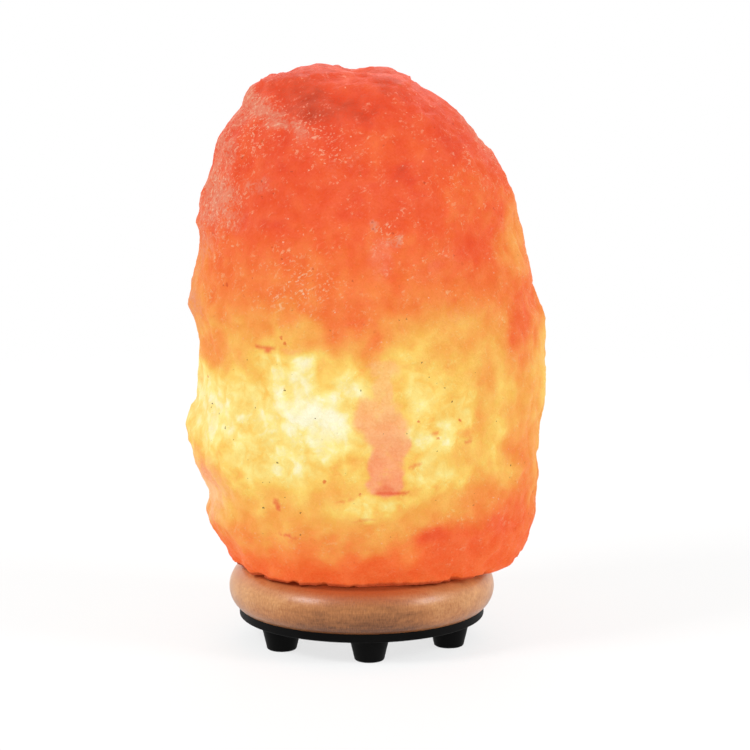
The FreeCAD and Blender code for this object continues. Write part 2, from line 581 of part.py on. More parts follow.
def centre_contact():
    """Brass leaf: riveted flat on the block, folded back over itself up to the bulb's tip."""
    t = LEAF_THICKNESS
    low = Z_BLOCK_TOP
    high = Z_LEAF_TOP
    back = -LEAF_BACK
    front = RIVET_HEAD_RADIUS + LEAF_MARGIN
    arm = high - LEAF_SLOPE
    bend = (arm - low) / 2
    fold = low + bend
    strip = outline((front, low), (back, low), ((back - bend, fold), (back, arm)), (0, high),
                    (LEAF_TIP_REACH, high), (LEAF_TIP_REACH, high - t), (0, high - t),
                    (back, arm - t), ((back - bend + t, fold), (back, low + t)), (front, low + t))
    leaf = Part.Face(strip).extrude(Vector(0, LEAF_WIDTH, 0))
    leaf.translate(Vector(0, -LEAF_WIDTH / 2, 0))
    return light_unit(leaf.cut(rod(RIVET_RADIUS + FREE, low, low + t)))


def contact_rivet():
    """Rivet from the centre terminal up through the web, the block and the leaf."""
    low = Z_WEB - TERMINAL_THICKNESS
    high = Z_BLOCK_TOP + LEAF_THICKNESS
    rivet = rod(RIVET_RADIUS, low, high)
    lower = rod(RIVET_HEAD_RADIUS, low - RIVET_HEAD_HEIGHT, low)
    upper = rod(RIVET_HEAD_RADIUS, high, high + RIVET_HEAD_HEIGHT)
    return light_unit(rivet.fuse([lower, upper]))


def terminals():
    """Two brass strips under the web: one riveted at the centre, one tongued up to the shell."""
    t = TERMINAL_THICKNESS
    w = TERMINAL_WIDTH
    top = Z_WEB
    drop = TERMINAL_LENGTH
    side = TERMINAL_OFFSET
    screw_z = top - TERMINAL_SCREW_DROP
    legs = []
    for sign, inner_end in ((-1, -RIVET_HEAD_RADIUS), (1, TONGUE_OFFSET)):
        leg = Part.makeBox(t, w, drop, Vector(side if sign > 0 else -side - t, -w / 2, top - drop))
        low_x = min(sign * (side + t), inner_end if sign > 0 else -side - t)
        high_x = side + t if sign > 0 else -inner_end
        tab = Part.makeBox(high_x - low_x, w, t, Vector(low_x, -w / 2, top - t))
        legs.append(leg.fuse(tab))
    tongue = Part.makeBox(t, w / 2, SOCKET_WEB_THICKNESS, Vector(TONGUE_OFFSET, -w / 4, top))
    centre = legs[0].cut(rod(RIVET_RADIUS + FREE, top - t, top))
    outer = legs[1].fuse(tongue)
    hole = Part.makeCylinder(TERMINAL_SCREW_RADIUS + FREE, 4 * side, Vector(-2 * side, 0, screw_z),
                             Vector(1, 0, 0))
    return [light_unit(piece.cut(hole).removeSplitter()) for piece in (centre, outer)]


def terminal_screws():
    """Clamp screws with their heads on the inner faces of the terminals."""
    screw_z = Z_WEB - TERMINAL_SCREW_DROP
    screws = []
    for sign in (-1, 1):
        seat = Vector(sign * TERMINAL_OFFSET, 0, screw_z)
        outward = Vector(sign, 0, 0)
        shank = Part.makeCylinder(TERMINAL_SCREW_RADIUS, TERMINAL_SCREW_LENGTH, seat, outward)
        head = Part.makeCylinder(TERMINAL_SCREW_HEAD_RADIUS, TERMINAL_SCREW_HEAD_HEIGHT, seat,
                                 outward * -1)
        screws.append(light_unit(shank.fuse(head)))
    return screws


def socket_screws():
    return [light_unit(pan_screw(SOCKET_SCREW_RADIUS, SOCKET_SCREW_LENGTH,
                                 SOCKET_SCREW_HEAD_RADIUS, SOCKET_SCREW_HEAD_HEIGHT, Z_FLANGE,
                                 at_unit_angle(angle, SOCKET_SCREW_CIRCLE)))
            for angle in SOCKET_EAR_ANGLES]


# ---- Retaining clips -------------------------------------------------------------------------
def retaining_clip(angle):
    """Bowed leaf spring, drawn as it is pressed in by the bore."""
    low = Z_FLANGE_TOP
    t = CLIP_THICKNESS
    apex = low + CLIP_APEX_HEIGHT
    top = low + CLIP_HEIGHT
    leaf = outline((CLIP_FOOT_START, low), (CLIP_FOOT_END + t, low),
                   ((CLIP_REACH, apex), (CLIP_TIP_REACH + t, top)), (CLIP_TIP_REACH, top),
                   ((CLIP_REACH - t, apex), (CLIP_FOOT_END, low + t)), (CLIP_FOOT_START, low + t))
    clip = Part.Face(leaf).extrude(Vector(0, CLIP_WIDTH, 0))
    clip.translate(Vector(0, -CLIP_WIDTH / 2, 0))
    clip = clip.cut(rod(CLIP_RIVET_RADIUS + FREE, low, low + t, Vector(CLIP_RIVET_REACH, 0, 0)))
    return light_unit(clip.rotated(Vector(), UP, angle))


def clip_rivets():
    rivets = []
    for angle in CLIP_ANGLES:
        place = at_unit_angle(angle, CLIP_RIVET_REACH)
        high = Z_FLANGE_TOP + CLIP_THICKNESS
        shank = rod(CLIP_RIVET_RADIUS, Z_FLANGE, high, place)
        lower = rod(CLIP_RIVET_HEAD_RADIUS, Z_FLANGE - RIVET_HEAD_HEIGHT, Z_FLANGE, place)
        upper = rod(CLIP_RIVET_HEAD_RADIUS, high, high + RIVET_HEAD_HEIGHT, place)
        rivets.append(light_unit(shank.fuse([lower, upper])))
    return rivets


# ---- Bulb ------------------------------------------------------------------------------------
def bulb_glass():
    """Thin tubular envelope with a neck in the cap and a domed top."""
    def skin(inset):
        neck = GLASS_NECK_RADIUS - inset
        wide = BULB_RADIUS - inset
        shoulder = Z_BULB_CAP_TOP + BULB_SHOULDER_HEIGHT
        dome = Z_BULB_TOP - BULB_RADIUS
        start = Z_BULB_CAP_TOP + inset / 2
        half = (start + shoulder) / 2
        middle = (neck + wide) / 2
        # Two arcs make the S of the shoulder: out of the neck, then into the straight wall.
        span = shoulder - half
        rise = middle - neck
        bow = SHOULDER_BOW * math.hypot(span, rise)
        lower = (neck + rise / 2 - bow, start + span / 2 + bow * rise / span / 2)
        upper = (middle + rise / 2 + bow, half + span / 2 - bow * rise / span / 2)
        return turned((0, Z_GLASS), (neck, Z_GLASS), (neck, start), (lower, (middle, half)),
                      (upper, (wide, shoulder)), (wide, dome),
                      (corner(0, dome, wide, 45), (0, dome + wide)))
    return skin(0).cut(skin(BULB_GLASS_WALL))


def bulb_cap():
    """Brass cap: a cup that holds the neck, open at the insulator."""
    inner = BULB_CAP_RADIUS - BULB_CAP_WALL
    hole = inner - BULB_CAP_LIP
    return turned((hole, Z_BULB_CAP), (BULB_CAP_RADIUS, Z_BULB_CAP),
                  (BULB_CAP_RADIUS, Z_BULB_CAP_TOP), (inner, Z_BULB_CAP_TOP),
                  (inner, Z_BULB_CAP + BULB_CAP_WALL), (hole, Z_BULB_CAP + BULB_CAP_WALL))


def bulb_cap_insulator():
    """Black glass cone between the cap and the tip."""
    return turned((0, Z_BULB_INSULATOR), (BULB_TIP_RADIUS + BULB_TIP_MARGIN, Z_BULB_INSULATOR),
                  (BULB_CAP_RADIUS - BULB_CAP_LIP, Z_BULB_CAP), (0, Z_BULB_CAP))


def bulb_tip_contact():
    """Domed contact under the insulator."""
    high = Z_BULB_INSULATOR
    ball = (BULB_TIP_RADIUS ** 2 + BULB_TIP_HEIGHT ** 2) / (2 * BULB_TIP_HEIGHT)
    half = math.degrees(math.asin(BULB_TIP_RADIUS / ball)) / 2
    return turned((0, Z_BULB_TIP), (corner(0, Z_BULB_TIP + ball, ball, half - 90),
                                    (BULB_TIP_RADIUS, high)), (0, high))


def bulb_stem():
    """Glass flare that closes the neck, with a tube up to the pinch that holds the wires."""
    flare = turned((0, Z_GLASS), (GLASS_NECK_RADIUS - BULB_GLASS_WALL - FREE, Z_GLASS),
                   (STEM_RADIUS, Z_GLASS + STEM_FLARE_HEIGHT),
                   (STEM_RADIUS, Z_GLASS + STEM_HEIGHT), (0, Z_GLASS + STEM_HEIGHT))
    pinch = Part.makeBox(PINCH_WIDTH, PINCH_THICKNESS, PINCH_LENGTH,
                         Vector(-PINCH_WIDTH / 2, -PINCH_THICKNESS / 2, Z_GLASS + STEM_HEIGHT))
    return flare.fuse(pinch)


def bulb_lead_wires():
    """Two wires from the pinch up to the filament, and two below the flare to the cap and tip."""
    arch = FILAMENT_ARCH_RADIUS
    foot_x = PINCH_WIDTH / 2 - 2 * LEAD_RADIUS
    cap_x = BULB_CAP_RADIUS - BULB_CAP_WALL - BULB_CAP_LIP / 2
    cap_z = Z_BULB_CAP + BULB_CAP_WALL + LEAD_RADIUS
    return [rod_between(LEAD_RADIUS, Vector(-foot_x, 0, Z_STEM_TOP), Vector(-arch, 0, Z_FILAMENT)),
            rod_between(LEAD_RADIUS, Vector(foot_x, 0, Z_STEM_TOP), Vector(arch, 0, Z_FILAMENT)),
            rod_between(LEAD_RADIUS, Vector(-LEAD_SPREAD, 0, Z_BULB_CAP),
                        Vector(-LEAD_SPREAD, 0, Z_GLASS)),
            rod_between(LEAD_RADIUS, Vector(cap_x, 0, cap_z),
                        Vector(LEAD_SPREAD, 0, Z_GLASS - LEAD_RADIUS))]


def bulb_filament():
    """Coil drawn as an arch between the lead wires."""
    arch = Part.makeTorus(FILAMENT_ARCH_RADIUS, FILAMENT_RADIUS, Vector(), UP, 0, 360, 180)
    arch.rotate(Vector(), Vector(1, 0, 0), 90)
    return arch.translated(Vector(0, 0, Z_FILAMENT + LEAD_RADIUS))


def filament_supports():
    """Two fine wires from the pinch that hold the arch."""
    lean = math.radians(SUPPORT_ANGLE)
    reach = FILAMENT_ARCH_RADIUS - FILAMENT_RADIUS - FREE
    wires = []
    for sign in (-1, 1):
        end = Vector(sign * reach * math.cos(lean), 0,
                     Z_FILAMENT + LEAD_RADIUS + reach * math.sin(lean))
        start = Vector(sign * SUPPORT_SPREAD, 0, Z_STEM_TOP)
        wires.append(rod_between(SUPPORT_RADIUS, start, end))
    return wires


PIECES = {
    "salt_crystal": salt_crystal,
    "crystal_plugs": crystal_plugs,
    "crystal_screws": crystal_screws,
    "wood_base": wood_base,
    "foot_plate": foot_plate,
    "plate_screws": plate_screws,
    "holder_flange": holder_flange,
    "holder_cap": holder_cap,
    "cap_screws": cap_screws,
    "cord_grommet": cord_grommet,
    "socket_body": socket_body,
    "socket_screws": socket_screws,
    "socket_screw_shell": socket_screw_shell,
    "contact_block": contact_block,
    "centre_contact": centre_contact,
    "contact_rivet": contact_rivet,
    "terminals": terminals,
    "terminal_screws": terminal_screws,
    "retaining_clip_a": lambda: retaining_clip(CLIP_ANGLES[0]),
    "retaining_clip_b": lambda: retaining_clip(CLIP_ANGLES[1]),
    "clip_rivets": clip_rivets,
    "bulb_glass": bulb_glass,
    "bulb_cap": bulb_cap,
    "bulb_cap_insulator": bulb_cap_insulator,
    "bulb_tip_contact": bulb_tip_contact,
    "bulb_stem": bulb_stem,
    "bulb_lead_wires": bulb_lead_wires,
    "bulb_filament": bulb_filament,
    "filament_supports": filament_supports,
}


def main():
    os.makedirs("parts", exist_ok=True)
    for name, build in PIECES.items():
        shape = build()
        if isinstance(shape, list):
            shape = Part.makeCompound(shape)
        if not shape.isValid():
            raise ValueError(name + " is not a valid solid")
        shape.exportStep("parts/" + name + ".step")


main()
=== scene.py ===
"""Looks of a salt crystal lamp: a lit block of hewn rock salt on a turned wood base with feet.

Sizes are in millimetres, and MM turns them into the metres of the scene. The frame is that of the
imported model: origin on the table at the axis of the base, +Z up, the front of the lamp towards -Y.
"""

import logging
import math
from dataclasses import dataclass
from enum import Enum
from typing import Any, Callable, Iterable, Sequence, Union

import bmesh
import bpy
import numpy as np
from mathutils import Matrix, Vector, noise


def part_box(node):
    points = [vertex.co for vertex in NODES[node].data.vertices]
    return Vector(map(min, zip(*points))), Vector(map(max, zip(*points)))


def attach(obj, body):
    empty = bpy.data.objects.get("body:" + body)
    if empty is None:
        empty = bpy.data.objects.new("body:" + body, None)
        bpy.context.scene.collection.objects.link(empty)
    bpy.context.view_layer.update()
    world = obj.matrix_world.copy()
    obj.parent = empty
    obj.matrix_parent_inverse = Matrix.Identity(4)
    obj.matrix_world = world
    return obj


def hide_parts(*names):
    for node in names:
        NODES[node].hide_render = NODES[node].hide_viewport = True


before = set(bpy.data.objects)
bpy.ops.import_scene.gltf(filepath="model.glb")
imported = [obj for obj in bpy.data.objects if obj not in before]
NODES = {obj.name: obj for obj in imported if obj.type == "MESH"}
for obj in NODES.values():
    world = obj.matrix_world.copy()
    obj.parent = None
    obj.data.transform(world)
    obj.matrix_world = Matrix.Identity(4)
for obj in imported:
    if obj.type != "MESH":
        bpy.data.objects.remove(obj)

MM = 0.001
LOG = logging.getLogger("salt_lamp")
Colour = tuple[float, float, float]
Number = Union[float, "Signal"]


def tone(red: int, green: int, blue: int) -> Colour:
    """Linear colour from display values of 0 to 255."""
    def linear(value: int) -> float:
        share = value / 255
        return share / 12.92 if share <= 0.04045 else ((share + 0.055) / 1.055) ** 2.4
    return linear(red), linear(green), linear(blue)


# ---- Shader maths ------------------------------------------------------------------------------
class Signal:
    """A number that varies over a surface. Its operators add Math nodes to the material."""

    def __init__(self, shader: "Shader", socket: bpy.types.NodeSocket) -> None:
        """Wrap a socket of a shader's tree."""
        self.shader = shader
        self.socket = socket

    def _math(self, operation: str, *values: Number) -> "Signal":
        """Add one Math node.

        Args:
            operation: The node's operation.
            values: Its inputs in order.

        Returns:
            The node's result.
        """
        made = self.shader.node("ShaderNodeMath", {"operation": operation}, dict(enumerate(values)))
        return Signal(self.shader, made.outputs[0])

    def __add__(self, other: Number) -> "Signal":
        """Sum with another number."""
        return self._math("ADD", self, other)

    def __radd__(self, other: Number) -> "Signal":
        """Sum with a number on the left."""
        return self._math("ADD", other, self)

    def __sub__(self, other: Number) -> "Signal":
        """Difference from another number."""
        return self._math("SUBTRACT", self, other)

    def __rsub__(self, other: Number) -> "Signal":
        """Difference of a number on the left and this one."""
        return self._math("SUBTRACT", other, self)

    def __mul__(self, other: Number) -> "Signal":
        """Product with another number."""
        return self._math("MULTIPLY", self, other)

    def __rmul__(self, other: Number) -> "Signal":
        """Product with a number on the left."""
        return self._math("MULTIPLY", other, self)

    def __truediv__(self, other: Number) -> "Signal":
        """Quotient by another number."""
        return self._math("DIVIDE", self, other)

    def __pow__(self, power: Number) -> "Signal":
        """Power of this number."""
        return self._math("POWER", self, power)

    def __abs__(self) -> "Signal":
        """Size of this number without its sign."""
        return self._math("ABSOLUTE", self)

    def larger(self, other: Number) -> "Signal":
        """The larger of two numbers."""
        return self._math("MAXIMUM", self, other)

    def smaller(self, other: Number) -> "Signal":
        """The smaller of two numbers."""
        return self._math("MINIMUM", self, other)

    def angle_to(self, other: "Signal") -> "Signal":
        """Angle in radians of the point that has this number as its second coordinate."""
        return self._math("ARCTAN2", self, other)

    def above(self, start: float, end: float) -> "Signal":
        """Smooth step from 0 at start to 1 at end, which may be below start.

        Args:
            start: Where the step begins.
            end: Where it is complete.

        Returns:
            The step.
        """
        if start > end:
            return 1 - self.above(end, start)
        made = self.shader.node("ShaderNodeMapRange", {"interpolation_type": "SMOOTHSTEP"},
                                {"Value": self, "From Min": start, "From Max": end})
        return Signal(self.shader, made.outputs["Result"])


class Shader:
    """One material while it is made: its tree, its nodes and its surface."""

    def __init__(self, name: str) -> None:
        """Start a material with an empty tree."""
        self.material = bpy.data.materials.new(name)
        self.material.use_nodes = True
        self.tree = self.material.node_tree
        self.tree.nodes.clear()
        self.output = self.tree.nodes.new("ShaderNodeOutputMaterial")

    def node(self, kind: str, settings: dict[str, Any] | None = None,
             inputs: dict[Any, Any] | None = None) -> bpy.types.Node:
        """Add any node.

        Args:
            kind: The node's type.
            settings: Its own settings, which are set first; "stops" are a ramp's stops, each a
                place and a colour.
            inputs: The value of each socket by name or number: a plain value, a socket or a
                Signal.

        Returns:
            The node.
        """
        made = self.tree.nodes.new(kind)
        for name, value in (settings or {}).items():
            if name == "stops":
                self._set_stops(made.color_ramp, value)
            else:
                setattr(made, name, value)
        for name, value in (inputs or {}).items():
            if isinstance(value, Signal):
                value = value.socket
            if isinstance(value, bpy.types.NodeSocket):
                self.tree.links.new(value, made.inputs[name])
            else:
                made.inputs[name].default_value = value
        return made

    @staticmethod
    def _set_stops(ramp: bpy.types.ColorRamp, stops: Sequence[tuple[float, Colour]]) -> None:
        """Give a ramp its stops.

        Args:
            ramp: The ramp.
            stops: Place from 0 to 1 and colour of each stop, in order.
        """
        while len(ramp.elements) < len(stops):
            ramp.elements.new(1.0)
        for element, (place, colour) in zip(ramp.elements, stops):
            element.position = place
            element.color = (*colour, 1.0)

    def place(self) -> bpy.types.NodeSocket:
        """Place on the piece in millimetres, in the frame of the model."""
        coordinates = self.node("ShaderNodeTexCoord").outputs["Object"]
        return self.vector("SCALE", coordinates, scale=1 / MM)

    def vector(self, operation: str, first: Any, second: Any = None,
               scale: float | None = None) -> bpy.types.NodeSocket:
        """Add one Vector Math node.

        Args:
            operation: The node's operation.
            first: Its first vector.
            second: Its second vector, if it has one.
            scale: Its scale, if it has one.

        Returns:
            The resulting vector.
        """
        inputs: dict[Any, Any] = {0: first}
        if second is not None:
            inputs[1] = second
        if scale is not None:
            inputs["Scale"] = scale
        return self.node("ShaderNodeVectorMath", {"operation": operation}, inputs).outputs[0]

    def parts(self, vector: Any) -> tuple[Signal, Signal, Signal]:
        """The three coordinates of a vector."""
        made = self.node("ShaderNodeSeparateXYZ", inputs={0: vector})
        return tuple(Signal(self, made.outputs[k]) for k in range(3))

    def joined(self, x: Number, y: Number, z: Number) -> bpy.types.NodeSocket:
        """The vector of three coordinates."""
        return self.node("ShaderNodeCombineXYZ", inputs={0: x, 1: y, 2: z}).outputs[0]

    def cloud(self, place: Any, size: float, detail: float = 3.0, roughness: float = 0.55,
              distortion: float = 0.0) -> Signal:
        """Cloudy noise of about 0 to 1.

        Args:
            place: Where on the surface, in millimetres.
            size: Width of the largest blotches, in millimetres.
            detail: How many finer layers it has.
            roughness: How strong those are.
            distortion: How far it curls.

        Returns:
            The noise.
        """
        made = self.node("ShaderNodeTexNoise", inputs={
            "Vector": place, "Scale": 1 / size, "Detail": detail, "Roughness": roughness,
            "Distortion": distortion})
        return Signal(self, made.outputs[0])

    def bent(self, place: Any, size: float, amount: float) -> bpy.types.NodeSocket:
        """Places shifted by a cloudy vector, so that what follows them has irregular edges.

        Args:
            place: Where on the surface, in millimetres.
            size: Width of the blotches, in millimetres.
            amount: How far they shift, in millimetres.

        Returns:
            The shifted places.
        """
        made = self.node("ShaderNodeTexNoise", inputs={
            "Vector": place, "Scale": 1 / size, "Detail": 2.0, "Roughness": 0.5})
        away = self.vector("SUBTRACT", made.outputs["Color"], (0.5, 0.5, 0.5))
        return self.vector("ADD", place, self.vector("SCALE", away, scale=amount * 2))

    def blobs(self, place: Any, size: float, softness: float = 0.4) -> Signal:
        """Soft round blobs: the distance from the nearest one's middle, in their size.

        Args:
            place: Where on the surface, in millimetres.
            size: Distance between blobs, in millimetres.
            softness: How far neighbours run into each other.

        Returns:
            The distance, of about 0 to 0.7.
        """
        made = self.node("ShaderNodeTexVoronoi", {"feature": "SMOOTH_F1"},
                         {"Vector": place, "Scale": 1 / size, "Smoothness": softness})
        return Signal(self, made.outputs["Distance"])

    def grains(self, place: Any, size: float, scatter: float = 1.0) -> tuple[Signal, Signal]:
        """Scattered grains.

        Args:
            place: Where on the surface, in millimetres.
            size: Distance between grains, in millimetres.
            scatter: How irregular they are.

        Returns:
            The distance to the nearest grain's middle, in grain sizes, and a random number of 0
            to 1 for that grain.
        """
        made = self.node("ShaderNodeTexVoronoi", {"feature": "F1"},
                         {"Vector": place, "Scale": 1 / size, "Randomness": scatter})
        lot = self.node("ShaderNodeSeparateColor", inputs={0: made.outputs["Color"]})
        return Signal(self, made.outputs["Distance"]), Signal(self, lot.outputs[0])

    def stored(self, name: str) -> Signal:
        """A number kept on the mesh."""
        made = self.node("ShaderNodeAttribute", {"attribute_name": name})
        return Signal(self, made.outputs["Fac"])

    def ramp(self, value: Signal, stops: Sequence[tuple[float, Colour]]) -> bpy.types.NodeSocket:
        """Colour that runs through stops as a number goes from 0 to 1."""
        return self.node("ShaderNodeValToRGB", {"stops": stops}, {0: value}).outputs[0]

    def mix(self, share: Number, first: Any, second: Any,
            blend: str = "MIX") -> bpy.types.NodeSocket:
        """Blend of two colours.

        Args:
            share: How much of the second.
            first: The first colour.
            second: The second colour.
            blend: How the second lies on the first.

        Returns:
            The blended colour.
        """
        made = self.node("ShaderNodeMix", {"data_type": "RGBA", "blend_type": blend},
                         {0: share, 6: self._colour(first), 7: self._colour(second)})
        return made.outputs[2]

    @staticmethod
    def _colour(value: Any) -> Any:
        """A plain colour with its fourth number, or the value as it is."""
        return (*value, 1.0) if isinstance(value, tuple) and len(value) == 3 else value

    def bump(self, height: Signal, rise: float, strength: float = 1.0) -> bpy.types.NodeSocket:
        """Normal that follows a fine relief.

        Args:
            height: The relief, from 0 to 1.
            rise: What 1 stands for, in millimetres.
            strength: Share of the effect.

        Returns:
            The normal.
        """
        made = self.node("ShaderNodeBump", inputs={
            "Height": height, "Distance": rise * MM, "Strength": strength})
        return made.outputs[0]

    def surface(self, **sockets: Any) -> bpy.types.Material:
        """Finish the material with one Principled surface.

        Args:
            sockets: The value of each socket by its name, with _ for each space.

        Returns:
            The material.
        """
        named = {name.replace("_", " "): self._colour(value) for name, value in sockets.items()}
        made = self.node("ShaderNodeBsdfPrincipled", inputs=named)
        self.tree.links.new(made.outputs[0], self.output.inputs["Surface"])
        return self.material


# ---- Finishes ----------------------------------------------------------------------------------
@dataclass(frozen=True)
class LitSalt:
    """Rock salt lit from inside: its colour deepens with the way that the light has come."""

    body_share: float = 0.34
    glow_share: float = 0.69
    way_end: float = 1.25

    STOPS = (
        (0.00, tone(255, 254, 220)),
        (0.10, tone(254, 249, 196)),
        (0.22, tone(253, 236, 145)),
        (0.36, tone(252, 212, 104)),
        (0.50, tone(251, 178, 84)),
        (0.64, tone(251, 141, 66)),
        (0.77, tone(249, 108, 54)),
        (0.88, tone(242, 88, 50)),
        (1.00, tone(206, 74, 44)),
    )
    # Rose-coloured salt from 50 to 150 mm above the table.
    ROSE_STOPS = (
        (0.00, tone(255, 200, 148)),
        (0.20, tone(254, 188, 142)),
        (0.32, tone(252, 158, 124)),
        (0.52, tone(254, 178, 132)),
        (0.72, tone(255, 206, 134)),
        (0.82, tone(254, 186, 118)),
        (1.00, tone(251, 136, 100)),
    )

    def material(self) -> bpy.types.Material:
        """Make the material.

        Returns:
            A material that reads depth, frost, rose, glint and relief from the mesh.
        """
        s = Shader("lit_salt")
        place = s.place()
        x, y, height = s.parts(place)
        on_wood = ((x * x + y * y) ** 0.5).above(61.0, 55.0)
        depth, frost, rose = s.stored("depth"), s.stored("frost"), s.stored("rose")
        glint, relief = s.stored("glint"), s.stored("relief")

        clouds = s.cloud(place, 21.0, 4.0, 0.55, 0.6)
        mottle = s.cloud(place, 4.6, 5.0, 0.68, 0.5)
        sand = s.cloud(place, 1.0, 4.0, 0.72)
        broken = s.bent(s.bent(place, 11.0, 5.0), 3.5, 2.4)
        lumps = s.blobs(broken, 7.5) * 0.65 + s.blobs(broken, 3.6) * 0.35
        clear = depth.above(0.62, 0.25)
        # Ridges of the relief get a slightly shorter way, which paints a little light on them.
        way = (depth + (clouds - 0.5) * 0.16 + (mottle - 0.5) * 0.20 + (sand - 0.5) * 0.20
               + (lumps - 0.42) * (0.04 + clear * 0.50) - relief * 0.03)

        # Fine slanting marks, where the light catches the faces of small crystals.
        slant = s.vector("MULTIPLY", s.node("ShaderNodeVectorRotate", {
            "rotation_type": "EULER_XYZ"}, {"Vector": place, "Rotation": (0.0, 0.6, 0.0)}
        ).outputs[0], (0.45, 1.0, 1.25))
        curls = s.cloud(slant, 2.5, 2.0, 0.5, 1.2)
        patchy = s.cloud(place, 5.5, 4.0, 0.65, 0.4)
        marked = (patchy + glint * 0.22).above(0.46, 0.70)
        short = s.cloud(place, 1.5, 2.0, 0.5).above(0.47, 0.58)
        fleck = (1 - abs(curls - 0.5) * 14.0).above(0.0, 0.8) * short * marked
        distance, lot = s.grains(s.bent(place, 0.9, 0.5), 2.1)
        sparkle = distance.above(0.22, 0.10) * (lot + glint * 0.10 + patchy * 0.2).above(1.0, 1.04)
        glow = s.ramp((way - fleck * 0.10) / self.way_end, self.STOPS)

        dusty = (frost * (0.72 + (mottle - 0.5) * 2.2 + (sand - 0.5) * 2.4
                          + (clouds - 0.5) * 0.8)).above(0.05, 1.0)
        rosy = (rose * (0.95 + (mottle - 0.5) * 1.8 + (clouds - 0.5) * 0.8)).above(0.0, 1.0)
        deep_rose = s.ramp((height - 50.0) / 100.0, self.ROSE_STOPS)
        glow = s.mix(rosy * 0.76, glow, deep_rose)
        glow = s.mix(dusty * 0.60, glow, tone(241, 164, 134))
        pale = (fleck * (0.34 + glint * 0.26) + sparkle * 0.6) * way.above(0.35, 0.85)
        glow = s.mix(pale.smaller(0.9), glow, tone(255, 214, 184))

        # Grains of dirt in the clear salt, and rust-red ones.
        rough = s.bent(place, 1.1, 0.9)
        speck, chosen = s.grains(rough, 3.1)
        dirt = (speck - (chosen - 0.9) * 0.5).above(0.115, 0.06) * chosen.above(0.84, 0.86) \
            * way.above(0.95, 0.5)
        rust, some = s.grains(s.vector("ADD", rough, (31.0, 17.0, 5.0)), 8.0)
        stain = rust.above(0.14, 0.06) * some.above(0.76, 0.80)
        # Dark red specks: painted shade in small pits of the red salt.
        pit, dark = s.grains(s.vector("ADD", rough, (7.0, 3.0, 11.0)), 4.1)
        pit_shade = pit.above(0.17, 0.07) * dark.above(0.80, 0.84) * way.above(0.6, 0.9)
        glow = s.mix(dirt * 0.85, glow, tone(84, 62, 30))
        glow = s.mix(stain * 0.7, glow, tone(224, 92, 38))
        glow = s.mix(pit_shade * 0.45, glow, tone(170, 48, 28))
        cracked = (s.stored("rust") * (0.5 + mottle * 0.8)).smaller(0.8)
        glow = s.mix(cracked, glow, tone(236, 104, 58))
        warm = height.above(66.0, 40.0) * way.above(0.6, 0.85)
        glow = s.mix(warm * 0.65, glow, tone(255, 122, 52))
        # Painted shade: a dark red line along the foot of the salt where it sits on the wood.
        glow = s.mix(height.above(34.7, 33.3) * on_wood * 0.7, glow, tone(140, 42, 16))

        # Painted light and shade of the relief, mixed with random grain: glow and body darker in
        # hollows, paler on ridges.
        tint = (relief * 0.8 + (sand - 0.5) * 3.0 + (mottle - 0.5) * 2.0).above(-1.0, 1.0)
        glow = s.mix((1 - tint) * 0.30, glow, glow, "MULTIPLY")
        body = s.mix(tint, s.mix(0.5, glow, tone(206, 66, 40)), s.mix(0.05, glow, (1.0,) * 3))
        body = s.mix(dusty * 0.45, body, tone(196, 116, 92))
        rise = (sand * 0.60 + mottle * 1.1 - lumps * 0.8 + fleck * 0.12 + patchy * 0.5) * (
            0.5 + depth.above(0.2, 0.9) * 0.5)
        return s.surface(
            Base_Color=s.vector("SCALE", body, scale=self.body_share),
            Emission_Color=s.vector("SCALE", glow, scale=self.glow_share),
            Emission_Strength=1.0,
            Roughness=0.66 - tint * 0.20 + frost * 0.12,
            Specular_IOR_Level=0.09,
            Normal=s.bump(rise, 1.9, 1.0))


